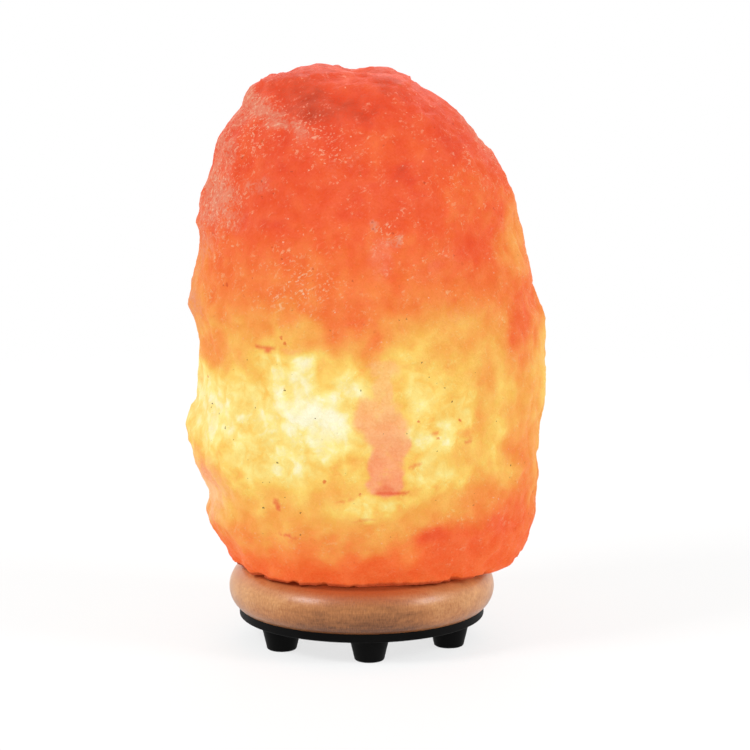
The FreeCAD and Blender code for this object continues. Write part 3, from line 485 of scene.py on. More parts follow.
@dataclass(frozen=True)
class TurnedWood:
    """Pale close-grained wood, turned and given a thin satin varnish."""

    light: Colour = tone(214, 160, 104)
    middle: Colour = tone(176, 114, 64)
    dark: Colour = tone(108, 62, 28)
    salt_level: float = 32.9
    board_level: float = 13.75
    board_reach: float = 56.3

    def material(self) -> bpy.types.Material:
        """Make the material.

        Returns:
            Wood with rings across the board, short upright pores and a painted glow by the salt.
        """
        s = Shader("turned_wood")
        place = s.place()
        x, y, z = s.parts(place)
        out = (x * x + y * y) ** 0.5
        round_way = y.angle_to(x) * self.board_reach
        rings = s.cloud(s.vector("MULTIPLY", place, (0.12, 1.0, 1.2)), 7.0, 4.0, 0.55, 0.5)
        lines = s.cloud(s.vector("MULTIPLY", place, (0.04, 1.0, 1.6)), 1.8, 3.0, 0.6, 0.3)
        hatch = s.cloud(s.joined(round_way * 1.6, out * 0.4, z * 0.30), 0.62, 2.0, 0.6)
        pores = s.cloud(s.joined(round_way * 1.4, out, z * 0.45), 0.62, 2.0, 0.6)
        pore = pores.above(0.58, 0.70)
        # Painted shade: the wood darkens towards the bottom.
        low = z.above(self.board_level + 15.0, self.board_level - 1.0)
        near = z.above(self.salt_level - 8.0, self.salt_level)
        # Painted shade: a darker band through the middle of the board, from front to back.
        centre_shade_band = abs(x + 2.0 + (rings - 0.5) * 10.0).above(46.0, 8.0)
        shade = (0.72 + (rings - 0.5) * 0.6 + (lines - 0.5) * 0.4 + (hatch - 0.5) * 0.6
                 - low * 0.40 - centre_shade_band * 0.35)
        wood = s.ramp(shade, ((0.0, self.dark), (0.42, self.middle), (0.85, self.light),
                              (1.0, tone(226, 176, 122))))
        wood = s.mix(pore * 0.18, wood, self.dark)
        # Painted light: the salt's orange glow on the wood near it, stronger in the middle band.
        wood = s.mix(near * (0.45 + centre_shade_band * 0.40), wood, tone(160, 70, 34))
        # Painted shade: a dark line on the wood just under the salt.
        contact_shade = z.above(self.salt_level - 1.6, self.salt_level - 0.6)
        wood = s.mix(contact_shade * 0.6, wood, tone(96, 34, 14))
        return s.surface(
            Base_Color=wood,
            Roughness=0.36 + (hatch - 0.5) * 0.3,
            Specular_IOR_Level=0.35,
            Coat_Weight=0.20,
            Coat_Roughness=0.22,
            # Painted light: the wood near the salt glows orange, as if lit by it.
            Emission_Color=s.mix(near ** 2.0 * (1 - contact_shade), (0.0, 0.0, 0.0), tone(176, 58, 18)),
            Emission_Strength=0.12,
            Normal=s.bump(hatch * 0.5 - pore * 0.5, 0.10))


@dataclass(frozen=True)
class Moulding:
    """Moulded plastic, rubber or phenolic: one colour with a fine grain and faint mottling."""

    name: str
    colour: Colour
    roughness: float = 0.45
    grain: float = 0.6
    rise: float = 0.04
    gloss: float = 0.4

    def material(self) -> bpy.types.Material:
        """Make the material.

        Returns:
            Plastic whose grain shows in its gloss and relief.
        """
        s = Shader(self.name)
        place = s.place()
        grain = s.cloud(place, self.grain, 3.0, 0.6)
        wear = s.cloud(place, 14.0, 4.0, 0.6)
        paler = tuple(min(1.0, c * 1.25 + 0.001) for c in self.colour)
        darker = tuple(c * 0.8 for c in self.colour)
        return s.surface(
            Base_Color=s.mix((wear * 0.7 + grain * 0.3).above(0.35, 0.65), darker, paler),
            Roughness=self.roughness + (wear - 0.5) * 0.25 + (grain - 0.5) * 0.15,
            Specular_IOR_Level=self.gloss,
            Normal=s.bump(grain, self.rise))


@dataclass(frozen=True)
class Metal:
    """Plated, stamped or rolled metal with fine marks along one direction."""

    name: str
    colour: Colour
    roughness: float = 0.32
    marks: tuple[float, float, float] = (1.0, 1.0, 0.2)
    tarnish: Colour = tone(120, 100, 80)
    tarnished: float = 0.12

    def material(self) -> bpy.types.Material:
        """Make the material.

        Returns:
            Metal with rolled marks and a little tarnish.
        """
        s = Shader(self.name)
        place = s.place()
        marks = s.cloud(s.vector("MULTIPLY", place, self.marks), 0.3, 3.0, 0.6)
        stain = s.cloud(place, 5.0, 4.0, 0.65)
        return s.surface(
            Base_Color=s.mix(stain.above(0.5, 0.75) * self.tarnished, self.colour, self.tarnish),
            Metallic=1.0,
            Roughness=self.roughness + (marks - 0.5) * 0.2 + (stain - 0.5) * 0.15,
            Normal=s.bump(marks, 0.015))


@dataclass(frozen=True)
class BulbGlass:
    """Clear thin glass, faintly warmed by the filament."""

    name: str = "clear_glass"
    tint: Colour = tone(255, 250, 240)

    def material(self) -> bpy.types.Material:
        """Make the material.

        Returns:
            Glass with slight waviness.
        """
        s = Shader(self.name)
        waves = s.cloud(s.place(), 6.0, 2.0, 0.5)
        return s.surface(
            Base_Color=s.mix(waves.above(0.3, 0.7), self.tint, tone(250, 244, 232)),
            Roughness=0.02,
            IOR=1.5,
            Transmission_Weight=1.0,
            Normal=s.bump(waves, 0.02))


@dataclass(frozen=True)
class HotWire:
    """Glowing tungsten wire."""

    colour: Colour = tone(255, 214, 140)
    strength: float = 6.0

    def material(self) -> bpy.types.Material:
        """Make the material.

        Returns:
            Wire whose glow fades towards its ends.
        """
        s = Shader("hot_wire")
        heat = s.cloud(s.place(), 1.4, 2.0, 0.5)
        return s.surface(
            Base_Color=tone(150, 140, 130),
            Metallic=1.0,
            Roughness=0.5,
            Emission_Color=s.mix(heat.above(0.35, 0.6), tone(255, 176, 90), self.colour),
            Emission_Strength=self.strength)


def dress(piece: bpy.types.Object, finish: Any) -> None:
    """Give every slot of a piece one finish.

    Args:
        piece: The piece.
        finish: A finish, whose material is made once and shared.
    """
    made = SHELF.get(finish)
    if made is None:
        made = SHELF[finish] = finish.material()
    if not piece.material_slots:
        piece.data.materials.append(made)
    for slot in piece.material_slots:
        slot.material = made


SHELF: dict[Any, bpy.types.Material] = {}


# ---- Meshes ------------------------------------------------------------------------------------
def arrays(mesh: bpy.types.Mesh) -> np.ndarray:
    """Places of a mesh's vertices in millimetres."""
    places = np.empty(len(mesh.vertices) * 3, np.float64)
    mesh.vertices.foreach_get("co", places)
    return places.reshape(-1, 3) / MM


def islands(node: str) -> list[np.ndarray]:
    """Places of the vertices of each separate solid of a node, in millimetres.

    Args:
        node: The node's name.

    Returns:
        One array for each solid.
    """
    made = bmesh.new()
    made.from_mesh(NODES[node].data)
    bmesh.ops.remove_doubles(made, verts=made.verts, dist=0.002 * MM)
    made.verts.index_update()
    made.verts.ensure_lookup_table()
    left = dict.fromkeys(range(len(made.verts)))
    found = []
    while left:
        first = next(iter(left))
        del left[first]
        stack = [made.verts[first]]
        members = []
        while stack:
            vertex = stack.pop()
            members.append(vertex.co / MM)
            for edge in vertex.link_edges:
                other = edge.other_vert(vertex)
                if other.index in left:
                    del left[other.index]
                    stack.append(other)
        found.append(np.array(members))
    made.free()
    return found


def as_piece(name: str, made: bmesh.types.BMesh, body: str, replaced: str,
             finish: Any) -> bpy.types.Object:
    """Turn a mesh in millimetres into a piece that stands for a node.

    Args:
        name: The piece's name.
        made: Its mesh, which is used up.
        body: The body that it rides on.
        replaced: The node that it stands for.
        finish: Its finish.

    Returns:
        The piece.
    """
    bmesh.ops.scale(made, vec=(MM,) * 3, verts=made.verts)
    mesh = bpy.data.meshes.new(name)
    made.to_mesh(mesh)
    made.free()
    piece = bpy.data.objects.new(name, mesh)
    bpy.context.scene.collection.objects.link(piece)
    dress(piece, finish)
    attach(piece, body)
    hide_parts(replaced)
    return piece


def ring(made: bmesh.types.BMesh, places: Iterable[Sequence[float]]) -> list[bmesh.types.BMVert]:
    """Add a loop of vertices."""
    return [made.verts.new(place) for place in places]


def skin(made: bmesh.types.BMesh, rings: Sequence[list[bmesh.types.BMVert]],
         closed: bool = False) -> None:
    """Join neighbouring loops of as many vertices with smooth faces.

    Args:
        made: The mesh.
        rings: The loops in order.
        closed: Whether the last joins the first.
    """
    pairs = list(zip(rings, rings[1:]))
    if closed:
        pairs.append((rings[-1], rings[0]))
    for lower, upper in pairs:
        count = len(lower)
        for k in range(count):
            after = (k + 1) % count
            made.faces.new((lower[k], lower[after], upper[after], upper[k])).smooth = True


def lid(made: bmesh.types.BMesh, loop: list[bmesh.types.BMVert], middle: Sequence[float]) -> None:
    """Close a loop with a fan of faces to one middle point."""
    centre = made.verts.new(middle)
    for k, vertex in enumerate(loop):
        made.faces.new((vertex, loop[(k + 1) % len(loop)], centre)).smooth = True


def circle(radius: float, z: float, count: int, x: float = 0.0, y: float = 0.0,
           swell: Callable[[float], float] | None = None) -> list[tuple[float, float, float]]:
    """Places round a level circle.

    Args:
        radius: Its radius.
        z: Its level.
        count: How many places.
        x: Its middle.
        y: Its middle.
        swell: What is added to the radius at each angle in turns of 0 to 1.

    Returns:
        The places.
    """
    places = []
    for k in range(count):
        turn = k / count
        reach = radius + (swell(turn) if swell else 0.0)
        angle = 2 * math.pi * turn
        places.append((x + reach * math.cos(angle), y + reach * math.sin(angle), z))
    return places


# ---- Salt crystal ------------------------------------------------------------------------------
class Side(Enum):
    """The side of the crystal that a patch is on."""

    FRONT = -1.0
    BACK = 1.0
    ROUND = 0.0


class Effect(Enum):
    """What a patch changes: the light's way, frost, rose-coloured salt, glints or rust."""

    WAY = "depth"
    FROST = "frost"
    ROSE = "rose"
    GLINT = "glint"
    RUST = "rust"


@dataclass(frozen=True)
class Patch:
    """A soft-edged patch on the crystal.

    across and height are its middle, wide and tall its reach, lean its turn in degrees, amount
    what it adds, and edge the share of its reach over which it fades.
    """

    effect: Effect
    across: float
    height: float
    wide: float
    tall: float
    amount: float
    lean: float = 0.0
    edge: float = 0.9
    side: Side = Side.FRONT

    def share(self, places: np.ndarray) -> np.ndarray:
        """How much of the patch each place has, from 0 to 1."""
        lean = math.radians(self.lean)
        x = places[:, 0] - self.across
        z = places[:, 2] - self.height
        along = (x * math.cos(lean) + z * math.sin(lean)) / self.wide
        up = (z * math.cos(lean) - x * math.sin(lean)) / self.tall
        reach = np.hypot(along, up)
        share = np.clip((1.0 - reach) / max(self.edge, 0.02), 0.0, 1.0)
        share = share * share * (3 - 2 * share)
        if self.side is not Side.ROUND:
            share = share * np.clip((places[:, 1] * self.side.value + 22.0) / 24.0, 0.0, 1.0)
        return share


@dataclass(frozen=True)
class Knob:
    """A place where the block swells or is chipped: its middle, its reach and its rise."""

    across: float
    depth: float
    height: float
    reach: float
    rise: float


WAY, FROST, ROSE, GLINT = Effect.WAY, Effect.FROST, Effect.ROSE, Effect.GLINT
RUST = Effect.RUST
BACK, ROUND = Side.BACK, Side.ROUND


@dataclass
class Crystal:
    """The block of salt, hewn all round and sawn flat below."""

    voxel: float = 1.3
    sawn: float = 32.9
    cavity_radius: float = 24.0
    cavity_round: float = 9.0
    cavity_top: float = 127.0
    plug_radius: float = 3.05
    plug_top: float = 56.95
    plug_circle: float = 36.0
    plug_angles: tuple[float, ...] = (34.7, 154.7, 274.7)
    scoop: float = 16.0
    scoop_rise: float = 1.6
    chip: float = 6.2
    chip_rise: float = 0.85
    # How far the light has come at each height, before the patches.
    levels: tuple[tuple[float, float], ...] = (
        (30.0, 1.12), (36.0, 0.98), (44.0, 0.78), (55.0, 0.60), (68.0, 0.46), (82.0, 0.33),
        (98.0, 0.24), (114.0, 0.26), (130.0, 0.38), (145.0, 0.64), (158.0, 0.80),
        (172.0, 0.90), (190.0, 1.02), (212.0, 1.06), (232.0, 1.10), (246.0, 1.14),
    )
    # Patches with a crisper edge than this keep their own shape; others have ragged borders.
    crisp_edge: float = 0.45
    # Knobs are this much flatter from front to back than across.
    flat: float = 0.5
    # Where the block ends on the left and right as seen from the front: height and reach.
    left: tuple[tuple[float, float], ...] = (
        (31.0, 53.5), (35.0, 56.0), (40.0, 57.8), (44.0, 61.0), (50.0, 64.5), (55.0, 66.2),
        (62.0, 65.6), (69.0, 66.8), (73.0, 69.2), (80.0, 72.0), (86.0, 73.6), (92.0, 74.4),
        (98.0, 72.8), (104.0, 70.8), (110.0, 69.6), (118.0, 69.0), (126.0, 68.2),
        (134.0, 69.6), (140.0, 71.2), (144.0, 72.8), (152.0, 71.6), (160.0, 70.0),
        (168.0, 68.0), (174.0, 68.2), (179.0, 69.4), (182.0, 68.6), (190.0, 67.4),
        (198.0, 64.0), (205.0, 62.0), (210.0, 61.8), (214.0, 60.2), (218.0, 57.6),
        (222.0, 55.0), (226.0, 50.6), (232.0, 49.2), (236.0, 47.0), (238.0, 44.0),
    )
    right: tuple[tuple[float, float], ...] = (
        (31.0, 62.6), (35.0, 67.4), (40.0, 70.2), (48.0, 72.4), (55.0, 74.0), (62.0, 73.8),
        (70.0, 75.2), (76.0, 74.6), (86.0, 75.0), (94.0, 76.0), (100.0, 77.2), (110.0, 77.5),
        (120.0, 77.6), (137.0, 77.4), (142.0, 76.4), (145.0, 74.6), (150.0, 73.2),
        (160.0, 71.0), (170.0, 68.6), (182.0, 66.0), (190.0, 64.2), (198.0, 61.2),
        (205.0, 57.4), (211.0, 52.4), (218.0, 47.2), (224.0, 42.2), (230.0, 36.0),
        (234.0, 28.2), (238.0, 21.0),
    )
    outline_step: float = 2.0
    outline_top: float = 236.0
    rim_start: float = 50.0
    rim_reach: float = 26.0
    rim_way: float = 0.26

    patches: tuple[Patch, ...] = (
        # Top: dark red salt, then frost on the left with glinting flecks.
        Patch(WAY, -20.0, 231.0, 19.0, 9.0, 0.12, -8.0),
        Patch(WAY, -2.0, 229.0, 12.0, 6.0, 0.06),
        Patch(FROST, -43.0, 208.0, 16.0, 7.0, -1.1, 12.0),
        Patch(FROST, -33.0, 215.0, 12.0, 6.0, -0.9),
        Patch(WAY, -40.0, 184.0, 16.0, 7.0, 0.10, 8.0),
        Patch(WAY, 12.0, 216.0, 22.0, 14.0, -0.08),
        Patch(WAY, 16.0, 205.0, 6.0, 5.0, 0.07),
        Patch(WAY, 44.0, 196.0, 24.0, 22.0, -0.10),
        Patch(FROST, -50.0, 229.0, 13.0, 13.0, 1.0),
        Patch(FROST, -35.0, 225.0, 24.0, 8.0, 0.95, -28.0),
        Patch(FROST, -57.0, 212.0, 10.0, 16.0, 0.8),
        Patch(FROST, -43.0, 200.0, 12.0, 5.0, 0.75, -14.0),
        Patch(FROST, -63.0, 192.0, 13.0, 20.0, 0.85),
        Patch(FROST, -67.0, 172.0, 9.0, 20.0, 0.7),
        Patch(FROST, -52.0, 184.0, 9.0, 8.0, 0.45),
        Patch(FROST, -57.0, 194.0, 17.0, 9.0, 0.9, -22.0),
        Patch(FROST, 47.0, 222.0, 16.0, 3.6, 1.0, -48.0),
        Patch(FROST, -8.0, 209.0, 16.0, 6.0, 0.35, 20.0),
        Patch(GLINT, -50.0, 222.0, 22.0, 24.0, 1.0),
        Patch(GLINT, -60.0, 190.0, 18.0, 32.0, 0.9),
        Patch(GLINT, -18.0, 220.0, 26.0, 16.0, 0.7, -20.0),
        Patch(GLINT, -26.0, 160.0, 26.0, 18.0, 0.9, 20.0),
        Patch(GLINT, 10.0, 181.0, 6.0, 12.0, 1.0, -30.0),
        Patch(GLINT, 40.0, 205.0, 26.0, 18.0, 0.35),
        Patch(FROST, 6.0, 184.0, 2.4, 4.5, 1.0, 10.0, 0.5),
        Patch(FROST, 13.5, 178.0, 3.6, 2.6, 1.0, 30.0, 0.5),
        Patch(ROSE, 8.0, 172.0, 9.0, 13.0, 0.7, -12.0),
        Patch(ROSE, 30.0, 168.0, 22.0, 9.0, 0.35, 30.0),
        # Yellow-orange strip down the right edge, with redder salt beside it.
        Patch(WAY, 64.0, 178.0, 11.0, 30.0, -0.22),
        Patch(WAY, 45.0, 172.0, 12.0, 16.0, 0.08),
        Patch(WAY, 66.0, 136.0, 12.0, 26.0, 0.24),
        Patch(WAY, 68.0, 94.0, 14.0, 36.0, 0.18),
        # Orange on the left, ending in a sharp lower border, and the slanting yellow band.
        Patch(WAY, -70.0, 160.0, 12.0, 26.0, -0.12),
        Patch(WAY, -60.0, 129.5, 14.0, 10.0, 0.22, 8.0, 0.7),
        Patch(FROST, -72.0, 152.0, 9.0, 20.0, 0.4),
        Patch(FROST, -72.0, 140.0, 8.0, 26.0, 0.55),
        Patch(WAY, -30.0, 142.0, 22.0, 6.0, -0.14, 22.0),
        Patch(WAY, -28.0, 129.0, 22.0, 12.0, -0.22),
        Patch(WAY, -24.0, 131.0, 9.0, 6.0, -0.22),
        Patch(WAY, -26.0, 111.0, 22.0, 19.0, -0.22),
        Patch(WAY, -15.0, 103.0, 16.0, 18.0, -0.24),
        Patch(WAY, -6.0, 120.0, 12.0, 10.0, -0.24),
        Patch(WAY, 0.0, 106.0, 9.0, 14.0, -0.12),
        Patch(WAY, -31.0, 112.0, 8.0, 8.0, -0.12),
        Patch(WAY, -21.0, 108.0, 26.0, 26.0, -0.12),
        Patch(WAY, -66.0, 106.0, 22.0, 22.0, -0.22),
        Patch(WAY, -64.0, 64.0, 13.0, 14.0, -0.16),
        Patch(WAY, -45.0, 104.0, 18.0, 18.0, -0.14),
        Patch(FROST, -70.0, 108.0, 14.0, 22.0, 0.35),
        Patch(WAY, -58.0, 88.0, 22.0, 16.0, -0.14),
        Patch(WAY, -30.0, 88.0, 24.0, 13.0, -0.18),
        Patch(ROSE, -67.0, 68.0, 17.0, 23.0, 1.2),
        Patch(WAY, -46.0, 82.0, 16.0, 12.0, -0.13),
        Patch(RUST, -39.0, 134.5, 5.0, 1.3, 0.8, -6.0, 0.4),
        Patch(ROSE, -30.0, 136.0, 10.0, 3.2, 0.6, 6.0),
        # Orange tongue in the middle, then the rose-coloured vein below it.
        Patch(WAY, -5.0, 150.0, 26.0, 14.0, 0.08),
        Patch(WAY, -4.0, 140.0, 16.0, 12.0, 0.06, 0.0, 0.5),
        Patch(WAY, 5.0, 134.0, 7.0, 10.0, 0.12, 0.0, 0.5),
        Patch(ROSE, 9.5, 127.0, 9.0, 5.5, 0.8, 0.0, 0.6),
        Patch(ROSE, 9.0, 119.0, 6.0, 9.0, 1.0, 0.0, 0.44),
        Patch(ROSE, 5.5, 109.0, 10.5, 13.0, 1.05, 0.0, 0.6),
        Patch(ROSE, 10.5, 102.0, 11.0, 13.0, 1.1, 0.0, 0.44),
        Patch(ROSE, 13.0, 96.0, 8.5, 8.0, 1.1, -30.0, 0.3),
        Patch(ROSE, 10.0, 87.0, 8.8, 12.0, 1.1, 8.0, 0.34),
        Patch(ROSE, 10.0, 79.0, 9.5, 5.4, 1.1, 0.0, 0.34),
        Patch(WAY, 10.0, 96.0, 9.0, 18.0, 0.10),
        Patch(RUST, 12.5, 75.6, 9.0, 1.2, 1.0, 0.0, 0.4),
        Patch(RUST, 10.0, 77.4, 5.0, 2.6, 0.5, 0.0, 0.44),
        # Yellow right of the vein, peach above it.
        Patch(WAY, 20.0, 138.0, 12.0, 12.0, -0.14, 12.0),
        Patch(WAY, 38.0, 146.0, 22.0, 12.0, -0.14),
        Patch(FROST, 40.0, 148.0, 24.0, 14.0, 0.25),
        Patch(WAY, 25.0, 118.0, 11.0, 12.0, -0.24),
        Patch(WAY, 30.0, 101.0, 15.0, 20.0, -0.20),
        Patch(WAY, 42.0, 112.0, 7.0, 16.0, -0.14),
        Patch(WAY, 29.0, 83.0, 14.0, 10.0, -0.22),
        Patch(WAY, 43.0, 100.0, 6.0, 3.0, 0.22, -20.0),
        Patch(WAY, 52.0, 118.0, 6.0, 22.0, 0.14),
        Patch(RUST, 44.0, 95.5, 2.6, 1.0, 0.6, 20.0, 0.4),
        Patch(RUST, 31.0, 101.0, 3.0, 0.6, 0.6, 24.0, 0.4),
        # Yellow band under the vein, red-orange salt low on the right.
        Patch(WAY, 6.0, 70.0, 27.0, 7.0, -0.30, 5.0),
        Patch(WAY, -25.0, 78.0, 20.0, 8.0, -0.06),
        Patch(WAY, 42.0, 50.0, 28.0, 17.0, 0.30),
        Patch(WAY, 28.0, 55.0, 9.0, 7.0, 0.20),
        Patch(WAY, 62.0, 60.0, 14.0, 18.0, 0.20),
        Patch(WAY, 14.0, 40.0, 44.0, 9.0, 0.16),
        Patch(WAY, 48.0, 72.0, 16.0, 12.0, 0.14),
        Patch(WAY, -40.0, 48.0, 26.0, 14.0, -0.04),
        Patch(RUST, -34.5, 69.0, 1.4, 3.2, 0.9, 10.0, 0.4),
        Patch(RUST, -31.0, 56.0, 6.0, 0.9, 0.7, -6.0, 0.4),
        Patch(RUST, -6.0, 73.0, 6.0, 0.9, 0.45, 14.0, 0.4),
        Patch(RUST, 22.0, 87.0, 4.0, 0.9, 0.5, 20.0, 0.4),
        Patch(RUST, 1.0, 64.0, 6.0, 0.7, 0.35, 8.0, 0.4),
        # Back: the same kinds of salt, laid out differently.
        Patch(FROST, 48.0, 214.0, 20.0, 26.0, 0.8, 30.0, 0.9, BACK),
        Patch(GLINT, 40.0, 200.0, 34.0, 40.0, 0.8, 0.0, 0.9, BACK),
        Patch(WAY, -20.0, 228.0, 26.0, 12.0, 0.16, 10.0, 0.9, BACK),
        Patch(WAY, -36.0, 178.0, 16.0, 30.0, -0.16, 18.0, 0.9, BACK),
        Patch(WAY, 22.0, 158.0, 26.0, 12.0, 0.16, -16.0, 0.6, BACK),
        Patch(WAY, 14.0, 112.0, 24.0, 22.0, -0.26, 0.0, 0.9, BACK),
        Patch(WAY, -24.0, 100.0, 16.0, 18.0, -0.20, 0.0, 0.9, BACK),
        Patch(ROSE, -4.0, 124.0, 8.0, 26.0, 0.9, 16.0, 0.4, BACK),
        Patch(WAY, -2.0, 88.0, 9.0, 18.0, 0.20, 8.0, 0.6, BACK),
        Patch(WAY, -44.0, 56.0, 24.0, 14.0, 0.26, 0.0, 0.9, BACK),
        Patch(WAY, 30.0, 66.0, 22.0, 8.0, -0.14, -8.0, 0.9, BACK),
        Patch(FROST, -58.0, 120.0, 12.0, 28.0, 0.4, 0.0, 0.9, BACK),
    )
    knobs: tuple[Knob, ...] = (
        Knob(-34.0, 0.0, 243.0, 8.0, -1.6),
        Knob(-46.0, 0.0, 232.0, 6.0, 2.0),
        Knob(27.0, 0.0, 236.0, 10.0, 0.8),
        Knob(21.0, 4.0, 243.0, 6.0, -1.8),
        Knob(0.0, 0.0, 245.0, 10.0, -2.4),
        Knob(-3.0, 8.0, 243.0, 7.0, -3.0),
        Knob(-37.0, -38.0, 218.0, 8.0, 1.6),
        Knob(10.0, -56.0, 180.0, 7.0, -1.6),
        Knob(-14.0, -60.0, 160.0, 10.0, 1.4),
        Knob(11.0, -62.0, 76.0, 9.0, 1.8),
        Knob(12.0, -62.0, 92.0, 9.0, -1.8),
    )

    def hewn(self) -> bpy.types.Mesh:
        """Even mesh of the outside of the node, carried on below the sawn face.

        Returns:
            A closed mesh in metres.
        """
        made = bmesh.new()
        made.from_mesh(NODES["salt_crystal"].data)
        bmesh.ops.remove_doubles(made, verts=made.verts, dist=0.002 * MM)
        inside = []
        for face in made.faces:
            middle = face.calc_center_median() / MM
            flat = face.normal.z < -0.99 and middle.z < self.sawn + 0.01
            if flat or (math.hypot(middle.x, middle.y) < 43.0 and middle.z < self.cavity_top + 1):
                inside.append(face)
        bmesh.ops.delete(made, geom=inside, context="FACES")
        rim = [edge for edge in made.edges if edge.is_boundary]
        lower = bmesh.ops.extrude_edge_only(made, edges=rim)["geom"]
        for vertex in (item for item in lower if isinstance(item, bmesh.types.BMVert)):
            vertex.co.x *= 0.93
            vertex.co.y *= 0.93
            vertex.co.z -= 7.0 * MM
        bmesh.ops.holes_fill(made, edges=[e for e in made.edges if e.is_boundary], sides=0)
        bmesh.ops.recalc_face_normals(made, faces=made.faces)
        mesh = bpy.data.meshes.new("rough_block")
        made.to_mesh(mesh)
        made.free()
        block = bpy.data.objects.new("rough_block", mesh)
        bpy.context.scene.collection.objects.link(block)
        even = block.modifiers.new("even", "REMESH")
        even.mode = "VOXEL"
        even.voxel_size = self.voxel * MM
        soft = block.modifiers.new("soft", "SMOOTH")
        soft.factor, soft.iterations = 0.5, 5
        bpy.context.view_layer.update()
        ready = block.evaluated_get(bpy.context.evaluated_depsgraph_get())
        result = bpy.data.meshes.new_from_object(ready)
        bpy.data.objects.remove(block)
        bpy.data.meshes.remove(mesh)
        return result

    @staticmethod
    def warped(places: np.ndarray, size: float, amount: float) -> np.ndarray:
        """Places shifted by a cloudy vector, so that what follows them has irregular edges.

        Args:
            places: The places.
            size: Width of the blotches.
            amount: How far they shift.

        Returns:
            The shifted places.
        """
        shifts = [noise.noise_vector(Vector(place) / size) for place in places]
        return places + amount * np.array(shifts)

    @staticmethod
    def cloud(places: np.ndarray, size: float, layers: int = 4,
              rough: float = 0.9) -> np.ndarray:
        """Cloudy noise of about -1 to 1 at each place."""
        return np.array([noise.fractal(Vector(place) / size, rough, 2.0, layers)
                         for place in places])

    @staticmethod
    def scoops(places: np.ndarray, size: float) -> np.ndarray:
        """Shallow scoops with ridges between them, of about -0.3 to 0.7.

        Args:
            places: The places.
            size: Distance between the scoops' middles.

        Returns:
            The height of the surface.
        """
        near = np.array([noise.voronoi(Vector(place) / size)[0][:2] for place in places])
        return near[:, 0] ** 2 * 1.6 - np.exp(-(near[:, 1] - near[:, 0]) * 9.0) * 0.12 - 0.3

    def relief(self, places: np.ndarray) -> tuple[np.ndarray, np.ndarray]:
        """Height of the hewn surface over the smooth block.

        Args:
            places: Places on the block.

        Returns:
            The height in millimetres, and the part of it that is chips and grain.
        """
        bent = self.warped(places, 13.0, 4.0)
        large = self.scoops(bent, self.scoop) * self.scoop_rise
        small = self.scoops(bent * (1.0, 1.0, 0.8), self.chip) * self.chip_rise
        grain = self.cloud(places, 3.4, 3, 0.7) * 0.28
        lumps = self.cloud(places, 9.0, 2, 1.0) * 0.55
        chipped = np.clip(self.cloud(places + 40.0, 8.0, 3, 0.9) * 1.6, 0.0, 1.0)
        rim = chipped * np.clip((self.sawn + 8.0 - places[:, 2]) / 8.0, 0.0, 1.0) * 3.4
        return large + small + grain + lumps - 0.35 - rim, small + grain + lumps

    def depth(self, places: np.ndarray) -> np.ndarray:
        """How far the light has come through the salt, from 0 beside the bulb to about 1.

        Args:
            places: Places on the block.

        Returns:
            The way at each place.
        """
        heights, ways = zip(*self.levels)
        away = np.hypot(places[:, 0], places[:, 1] * 1.1)
        rim = np.clip((away - self.rim_start) / self.rim_reach, 0.0, 1.0)
        return np.interp(places[:, 2], heights, ways) + self.rim_way * rim * rim * (
            np.clip((175.0 - places[:, 2]) / 60.0, 0.0, 1.0))

    def layers(self, places: np.ndarray, chips: np.ndarray) -> dict[str, np.ndarray]:
        """Numbers that the finish reads.

        Args:
            places: Places on the block.
            chips: The small relief at each.

        Returns:
            Each number by name.
        """
        bent = self.warped(self.warped(places, 11.0, 4.4), 3.0, 1.3)
        ragged = self.warped(self.warped(places, 6.0, 1.2), 2.2, 0.7)
        found = {effect.value: np.zeros(len(places)) for effect in Effect}
        found.update(depth=self.depth(bent), relief=chips)
        for patch in self.patches:
            share = patch.amount * patch.share(ragged if patch.edge < self.crisp_edge else bent)
            values = found[patch.effect.value]
            if patch.effect in (ROSE, RUST):
                np.maximum(values, share, out=values)
            else:
                values += share
        return found

    def swell(self, places: np.ndarray) -> np.ndarray:
        """What the knobs and chips add at each place, in millimetres."""
        total = np.zeros(len(places))
        for knob in self.knobs:
            gap = (places - (knob.across, knob.depth, knob.height)) * (1.0, self.flat, 1.0)
            total += knob.rise * np.exp(-(gap ** 2).sum(1) / knob.reach ** 2)
        return total

    def outlined(self, places: np.ndarray) -> np.ndarray:
        """Places moved sideways until the block ends at its left and right outlines.

        Args:
            places: Places on the hewn block.

        Returns:
            The moved places. Hewing marks narrower than a few steps stay as they are.
        """
        moved = places.copy()
        levels = np.arange(self.sawn - 2.0, self.outline_top + 1.0, self.outline_step)
        fade = np.clip((self.outline_top + 8.0 - places[:, 2]) / 8.0, 0.0, 1.0)
        for side, outline in ((-1.0, self.left), (1.0, self.right)):
            out = places[:, 0] * side
            ends = np.array([out[np.abs(places[:, 2] - level) < self.outline_step].max()
                             for level in levels])
            even = np.convolve(np.pad(ends, 2, "edge"), np.ones(5) / 5, "valid")
            heights, reaches = zip(*outline)
            shift = np.interp(levels, heights, reaches) - even
            share = np.clip(out / np.interp(places[:, 2], levels, ends) * 2.4 - 1.4, 0.0, 1.0)
            share = share * share * (3 - 2 * share) * fade
            moved[:, 0] += side * np.interp(places[:, 2], levels, shift) * share
        return moved

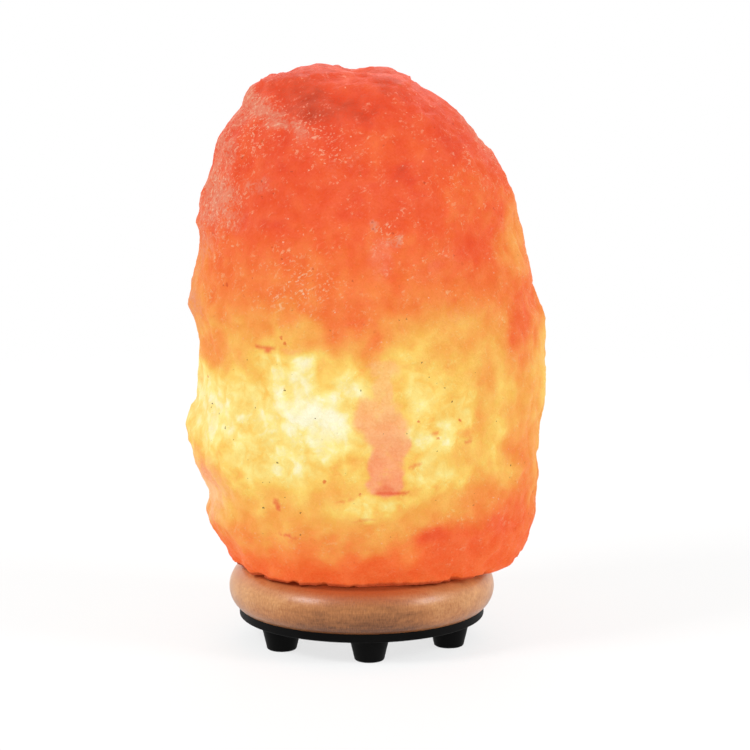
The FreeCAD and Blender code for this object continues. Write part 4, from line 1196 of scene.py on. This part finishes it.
    def build(self) -> bpy.types.Object:
        """Build and dress the crystal.

        Returns:
            The piece.
        """
        mesh = self.hewn()
        places = arrays(mesh)
        facing = np.empty(len(mesh.vertices) * 3)
        mesh.vertex_normals.foreach_get("vector", facing)
        height, chips = self.relief(places)
        places = places + facing.reshape(-1, 3) * (height + self.swell(places))[:, None]
        places = self.outlined(places)
        low, high = (np.array(corner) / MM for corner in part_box("salt_crystal"))
        places[:, :2] = np.clip(places[:, :2], low[:2], high[:2])
        places[:, 2] = np.minimum(places[:, 2], high[2])
        mesh.vertices.foreach_set("co", places.ravel())
        made = bmesh.new()
        made.from_mesh(mesh)
        bpy.data.meshes.remove(mesh)
        for name, values in self.layers(places, chips).items():
            layer = made.verts.layers.float.new(name)
            for vertex, value in zip(made.verts, values):
                vertex[layer] = value
        for face in made.faces:
            face.smooth = True
        self._saw(made)
        return as_piece("hewn_salt", made, "base", "salt_crystal", LitSalt())

    def _saw(self, made: bmesh.types.BMesh) -> None:
        """Cut the block flat below and drill it.

        Args:
            made: The block in millimetres, carried on below the sawn face.
        """
        bmesh.ops.bisect_plane(made, geom=made.verts[:] + made.edges[:] + made.faces[:],
                               plane_co=(0, 0, self.sawn), plane_no=(0, 0, -1), clear_outer=True)
        rim = [edge for edge in made.edges if edge.is_boundary]
        mouth = ring(made, circle(self.cavity_radius, self.sawn, 96))
        loops = [mouth]
        for angle in self.plug_angles:
            turn = math.radians(angle)
            x, y = self.plug_circle * math.sin(turn), -self.plug_circle * math.cos(turn)
            hole = ring(made, circle(self.plug_radius, self.sawn, 24, x, y))
            end = ring(made, circle(self.plug_radius, self.plug_top, 24, x, y))
            skin(made, [hole, end])
            lid(made, end, (x, y, self.plug_top))
            loops.append(hole)
        walls = [mouth]
        for step in range(1, 9):
            z = self.sawn + (self.cavity_top - self.cavity_round - self.sawn) * step / 8
            walls.append(ring(made, circle(self.cavity_radius, z, 96)))
        for step in range(1, 7):
            turn = math.pi / 2 * step / 6
            reach = self.cavity_radius - self.cavity_round * (1 - math.cos(turn))
            z = self.cavity_top - self.cavity_round * (1 - math.sin(turn))
            walls.append(ring(made, circle(reach, z, 96)))
        skin(made, walls)
        lid(made, walls[-1], (0, 0, self.cavity_top))
        edges = rim + [made.edges.get((loop[k], loop[(k + 1) % len(loop)]))
                       for loop in loops for k in range(len(loop))]
        for edge in edges:
            edge.smooth = False
        bmesh.ops.triangle_fill(made, use_beauty=True, use_dissolve=False, edges=edges,
                                normal=(0, 0, -1))
        bmesh.ops.recalc_face_normals(made, faces=made.faces)


# ---- Base --------------------------------------------------------------------------------------
@dataclass
class Base:
    """What carries the crystal: the turned wood and the footed plate."""

    wood: TurnedWood = TurnedWood()
    plate: Moulding = Moulding("black_moulding", tone(4, 4, 4), 0.55, 0.5, 0.035, 0.06)

    def dress(self) -> None:
        """Give the wood and the plate their finishes."""
        dress(NODES["wood_base"], self.wood)
        dress(NODES["foot_plate"], self.plate)


@dataclass
class Screws:
    """The screws of one node: pan heads with a cross recess below, threaded shanks above."""

    node: str
    body: str
    radius: float
    head_height: float
    pitch: float
    point: float = 2.5
    finish: Metal = Metal("zinc_plate", tone(190, 190, 184), 0.3, (1.0, 1.0, 1.0))

    def build(self) -> bpy.types.Object:
        """Build all screws of the node as one piece.

        Returns:
            The piece.
        """
        made = bmesh.new()
        for places in islands(self.node):
            low, high = places.min(0), places.max(0)
            self._screw(made, (low + high) / 2, low[2], high[2], (high[0] - low[0]) / 2)
        bmesh.ops.recalc_face_normals(made, faces=made.faces)
        return as_piece(self.node + "_threaded", made, self.body, self.node,
                        self.finish)

    def _recess(self, x: float, y: float, head: float) -> float:
        """Depth of the cross recess at a place on the head."""
        wide, long = head * 0.13, head * 0.62
        arm = max(min(wide - abs(x), long - abs(y)), min(wide - abs(y), long - abs(x)))
        return min(max(arm * 3.0, 0.0), 1.0) * self.head_height * 0.55

    def _screw(self, made: bmesh.types.BMesh, middle: np.ndarray, low: float, high: float,
               head: float) -> None:
        """Add one screw.

        Args:
            made: The mesh.
            middle: A point on its axis.
            low: Level of the head's lowest point.
            high: Level of the point.
            head: Radius of the head.
        """
        x, y = float(middle[0]), float(middle[1])
        count = 48
        loops = []
        dome = self.head_height / 2
        for step in range(1, 11):
            reach = (head - dome) * step / 10
            loops.append([made.verts.new((px, py, low + self._recess(px - x, py - y, head)))
                          for px, py, _ in circle(reach, low, count, x, y)])
        lid(made, loops[0], (x, y, low + self._recess(0, 0, head)))
        for step in range(1, 7):
            turn = math.pi / 2 * step / 6
            loops.append(ring(made, circle(head - dome + dome * math.sin(turn),
                                           low + dome - dome * math.cos(turn), count, x, y)))
        seat = low + self.head_height
        loops.append(ring(made, circle(head, seat, count, x, y)))
        depth = min(0.22 * self.pitch, 0.25 * self.radius)
        levels = max(12, int((high - seat) / self.pitch * 6))
        for step in range(levels + 1):
            z = seat + (high - seat) * step / levels * 0.999
            taper = min(1.0, (high - z) / self.point)
            fade = min(1.0, (z - seat) / self.pitch)

            def thread(turn: float, z: float = z, taper: float = taper,
                       fade: float = fade) -> float:
                """Drop of the thread below its crest at one angle."""
                wave = 0.5 + 0.5 * math.cos(2 * math.pi * ((z - seat) / self.pitch - turn))
                return -depth * fade * wave * taper

            loops.append(ring(made, circle(self.radius * taper, z, count, x, y, thread)))
        skin(made, loops)
        lid(made, loops[-1], (x, y, high))


# ---- Light unit --------------------------------------------------------------------------------
@dataclass
class ScrewCup:
    """A cup of thin metal with a rolled round thread, open above and partly open below."""

    radius: float
    wall: float
    low: float
    high: float
    lip: float
    pitch: float = 2.54
    plain: float = 1.6
    count: int = 72

    def wave(self, z: float) -> Callable[[float], float]:
        """Rolled thread at a level.

        Args:
            z: The level.

        Returns:
            The drop below the crest at each angle.
        """
        start = min(1.0, max(0.0, (z - self.low - self.plain) / self.pitch))
        end = min(1.0, max(0.0, (self.high - self.plain - z) / self.pitch))
        fade = start * end
        return lambda turn: -0.32 * fade * (
            0.5 + 0.5 * math.cos(2 * math.pi * ((z - self.low) / self.pitch - turn)))

    def mesh(self) -> bmesh.types.BMesh:
        """Build the cup.

        Returns:
            Its mesh in millimetres.
        """
        made = bmesh.new()
        levels = max(24, int((self.high - self.low) / self.pitch * 10))
        heights = [self.low + (self.high - self.low) * k / levels for k in range(levels + 1)]
        outside = [ring(made, circle(self.radius, z, self.count, swell=self.wave(z)))
                   for z in heights]
        inside = [ring(made, circle(self.radius - self.wall, max(z, self.low + self.wall),
                                    self.count, swell=self.wave(z)))
                  for z in reversed(heights)]
        mouth = self.radius - self.wall - self.lip
        floor = [ring(made, circle(mouth, self.low + self.wall, self.count)),
                 ring(made, circle(mouth, self.low, self.count))]
        skin(made, outside + inside + floor, closed=True)
        bmesh.ops.recalc_face_normals(made, faces=made.faces)
        return made


@dataclass
class LightUnit:
    """The holder that pulls out from below: flange, cap, socket, clips and wiring metal."""

    white: Moulding = Moulding("white_moulding", tone(232, 230, 222), 0.42, 0.7, 0.03, 0.5)
    phenolic: Moulding = Moulding("phenolic", tone(58, 46, 38), 0.35, 0.5, 0.03, 0.5)
    rubber: Moulding = Moulding("black_rubber", tone(26, 26, 26), 0.75, 0.4, 0.05, 0.3)
    nylon: Moulding = Moulding("nylon", tone(232, 228, 214), 0.5, 0.6, 0.03, 0.4)
    brass: Metal = Metal("stamped_brass", tone(212, 172, 96), 0.28)
    spring: Metal = Metal("spring_strip", tone(168, 170, 174), 0.26, (0.2, 1.0, 1.0))
    zinc: Metal = Metal("zinc_plate", tone(190, 190, 184), 0.3, (1.0, 1.0, 1.0))
    shell: ScrewCup = None

    def dress(self) -> None:
        """Give each node of the unit its finish."""
        for node in ("holder_flange", "holder_cap"):
            dress(NODES[node], self.white)
        for node in ("socket_body", "contact_block"):
            dress(NODES[node], self.phenolic)
        for node in ("centre_contact", "contact_rivet", "terminals", "terminal_screws"):
            dress(NODES[node], self.brass)
        for node in ("retaining_clip_a", "retaining_clip_b"):
            dress(NODES[node], self.spring)
        dress(NODES["clip_rivets"], self.zinc)
        dress(NODES["cord_grommet"], self.rubber)
        dress(NODES["crystal_plugs"], self.nylon)

    def build_shell(self) -> bpy.types.Object:
        """Build the socket's threaded shell.

        Returns:
            The piece.
        """
        low, high = (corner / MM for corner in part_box("socket_screw_shell"))
        cup = ScrewCup(radius=high.x, wall=0.4, low=low.z, high=high.z, lip=2.95)
        return as_piece("threaded_shell", cup.mesh(), "light_unit", "socket_screw_shell",
                        self.brass)


# ---- Bulb --------------------------------------------------------------------------------------
@dataclass
class Bulb:
    """The candelabra bulb: clear glass, threaded cap, stem, wires and a coiled filament."""

    glass: BulbGlass = BulbGlass()
    nickel: Metal = Metal("nickel_plate", tone(200, 197, 190), 0.2)
    black_glass: Moulding = Moulding("black_glass", tone(20, 20, 24), 0.15, 0.8, 0.01, 0.6)
    hot: HotWire = HotWire()
    arch_radius: float = 5.5
    coil_radius: float = 0.27
    wire_radius: float = 0.075
    coils: int = 44

    def dress(self) -> None:
        """Give each node of the bulb its finish."""
        for node in ("bulb_glass", "bulb_stem"):
            dress(NODES[node], self.glass)
        for node in ("bulb_tip_contact", "bulb_lead_wires", "filament_supports"):
            dress(NODES[node], self.nickel)
        dress(NODES["bulb_cap_insulator"], self.black_glass)

    def build_cap(self) -> bpy.types.Object:
        """Build the threaded cap.

        Returns:
            The piece.
        """
        low, high = (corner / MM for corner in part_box("bulb_cap"))
        cup = ScrewCup(radius=high.x, wall=0.3, low=low.z, high=high.z, lip=1.2)
        return as_piece("threaded_bulb_cap", cup.mesh(), "bulb", "bulb_cap",
                        self.nickel)

    def build_filament(self) -> bpy.types.Object:
        """Build the coil along its arch.

        Returns:
            The piece.
        """
        low, _ = (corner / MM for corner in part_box("bulb_filament"))
        steps = self.coils * 12
        line = []
        for step in range(steps + 1):
            share = step / steps
            arch = math.pi * (1 - share)
            coil = 2 * math.pi * self.coils * share
            outward = Vector((math.cos(arch), 0, math.sin(arch)))
            middle = Vector((0, 0, low.z)) + outward * self.arch_radius
            line.append(middle + outward * (self.coil_radius * math.cos(coil))
                        + Vector((0, self.coil_radius * math.sin(coil), 0)))
        made = bmesh.new()
        loops = []
        for k, point in enumerate(line):
            ahead = (line[min(k + 1, steps)] - line[max(k - 1, 0)]).normalized()
            side = ahead.orthogonal() if k == 0 else (side - ahead * side.dot(ahead))
            side = side.normalized()
            up = ahead.cross(side)
            loops.append(ring(made, [point + self.wire_radius * (
                side * math.cos(2 * math.pi * j / 6) + up * math.sin(2 * math.pi * j / 6))
                for j in range(6)]))
        skin(made, loops)
        for loop, middle in ((loops[0], line[0]), (loops[-1], line[-1])):
            lid(made, loop, middle)
        low_edge = min(vertex.co.z for vertex in made.verts)
        bmesh.ops.translate(made, vec=(0, 0, max(0.0, low.z - low_edge)), verts=made.verts)
        bmesh.ops.recalc_face_normals(made, faces=made.faces)
        return as_piece("coiled_filament", made, "bulb", "bulb_filament", self.hot)


# ---- Studio ------------------------------------------------------------------------------------
@dataclass
class Studio:
    """Plain pale floor, soft white light and the camera. Places are in metres."""

    camera_place: tuple[float, float, float] = (0.00567, -1.63303, 0.43276)
    pitch: float = 11.08
    lens: float = 189.456
    around: float = 0.50
    floor_tone: float = 0.92
    clear: float = 0.74
    shadow_ends: tuple[float, float] = (180.0, 700.0)

    def build(self) -> None:
        """Set the camera, the lamps, the surroundings and the floor."""
        scene = bpy.context.scene
        scene.view_settings.view_transform = "Standard"
        data = bpy.data.cameras.new("camera")
        data.lens, data.sensor_width = self.lens, 36.0
        camera = bpy.data.objects.new("camera", data)
        camera.location = self.camera_place
        camera.rotation_euler = (math.radians(90 - self.pitch), 0, 0)
        scene.collection.objects.link(camera)
        scene.camera = camera
        self._lamp("left_softbox", (-1.2, -0.75, 1.25), 0.6, 18.0)
        self._lamp("right_softbox", (1.35, -0.6, 0.95), 0.6, 13.0)
        self._lamp("back_softbox", (0.1, 1.4, 1.0), 1.0, 9.0)
        self._surroundings(scene)
        self._floor(scene)

    @staticmethod
    def _lamp(name: str, place: tuple[float, float, float], size: float, power: float) -> None:
        """Add a square soft lamp that faces the crystal.

        Args:
            name: Its name.
            place: Where it is.
            size: Its width.
            power: Its power in watts.
        """
        data = bpy.data.lights.new(name, "AREA")
        data.size, data.energy = size, power
        lamp = bpy.data.objects.new(name, data)
        lamp.location = place
        lamp.rotation_euler = (Vector((0, 0, 0.11)) - lamp.location).to_track_quat(
            "-Z", "Y").to_euler()
        bpy.context.scene.collection.objects.link(lamp)

    @staticmethod
    def _seen(shader: Shader) -> Signal:
        """1 for rays that show the background: camera, mirror and glass rays.

        Args:
            shader: The material or world in the making.

        Returns:
            The mask.
        """
        path = shader.node("ShaderNodeLightPath")
        direct = Signal(shader, path.outputs["Is Camera Ray"])
        mirrored = Signal(shader, path.outputs["Is Glossy Ray"])
        through = Signal(shader, path.outputs["Is Transmission Ray"])
        return direct.larger(mirrored).larger(through)

    def _surroundings(self, scene: bpy.types.Scene) -> None:
        """White all round, softer as a light than as a background."""
        world = bpy.data.worlds.new("white_room")
        world.use_nodes = True
        scene.world = world
        shader = Shader.__new__(Shader)
        shader.tree = world.node_tree
        shader.tree.nodes.clear()
        strength = self.around + self._seen(shader) * (1.0 - self.around)
        made = shader.node("ShaderNodeBackground", inputs={"Color": (1, 1, 1, 1),
                                                           "Strength": strength})
        output = shader.node("ShaderNodeOutputWorld")
        shader.tree.links.new(made.outputs[0], output.inputs["Surface"])

    def _floor(self, scene: bpy.types.Scene) -> None:
        """Wide white floor that keeps the shadow and lets what is below it show."""
        made = bmesh.new()
        loop = ring(made, circle(9.0, 0.0, 64))
        made.faces.new(loop)
        mesh = bpy.data.meshes.new("floor")
        made.to_mesh(mesh)
        made.free()
        floor = bpy.data.objects.new("floor", mesh)
        scene.collection.objects.link(floor)
        shader = Shader("white_floor")
        below = Signal(shader, shader.node("ShaderNodeNewGeometry").outputs["Backfacing"])
        matt = shader.node("ShaderNodeBsdfDiffuse", inputs={"Color": (self.floor_tone,) * 3 + (1,)})
        clear = shader.node("ShaderNodeBsdfTransparent")
        x, y, _ = shader.parts(shader.place())
        far = ((x * x + y * y) ** 0.5).above(*self.shadow_ends)
        share = self._seen(shader) * below.larger(self.clear).larger(far)
        both = shader.node("ShaderNodeMixShader", inputs={
            0: share, 1: matt.outputs[0], 2: clear.outputs[0]})
        shader.tree.links.new(both.outputs[0], shader.output.inputs["Surface"])
        mesh.materials.append(shader.material)


def main() -> None:
    """Build each sub-assembly in order, dress it and report its pieces."""
    logging.basicConfig(level=logging.INFO, format="%(message)s")
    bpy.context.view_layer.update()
    Studio().build()
    base = Base()
    base.dress()
    unit = LightUnit()
    unit.dress()
    bulb = Bulb()
    bulb.dress()
    pieces = [
        Crystal().build(),
        Screws("crystal_screws", "base", 2.0, 2.8, 1.8).build(),
        Screws("plate_screws", "base", 1.5, 2.0, 1.4).build(),
        Screws("socket_screws", "light_unit", 1.5, 2.0, 1.3).build(),
        Screws("cap_screws", "light_unit", 1.25, 1.6, 1.1).build(),
        unit.build_shell(),
        bulb.build_cap(),
        bulb.build_filament(),
    ]
    for piece in pieces:
        LOG.info("%s: %d vertices", piece.name, len(piece.data.vertices))


if __name__ == "__main__":
    main()
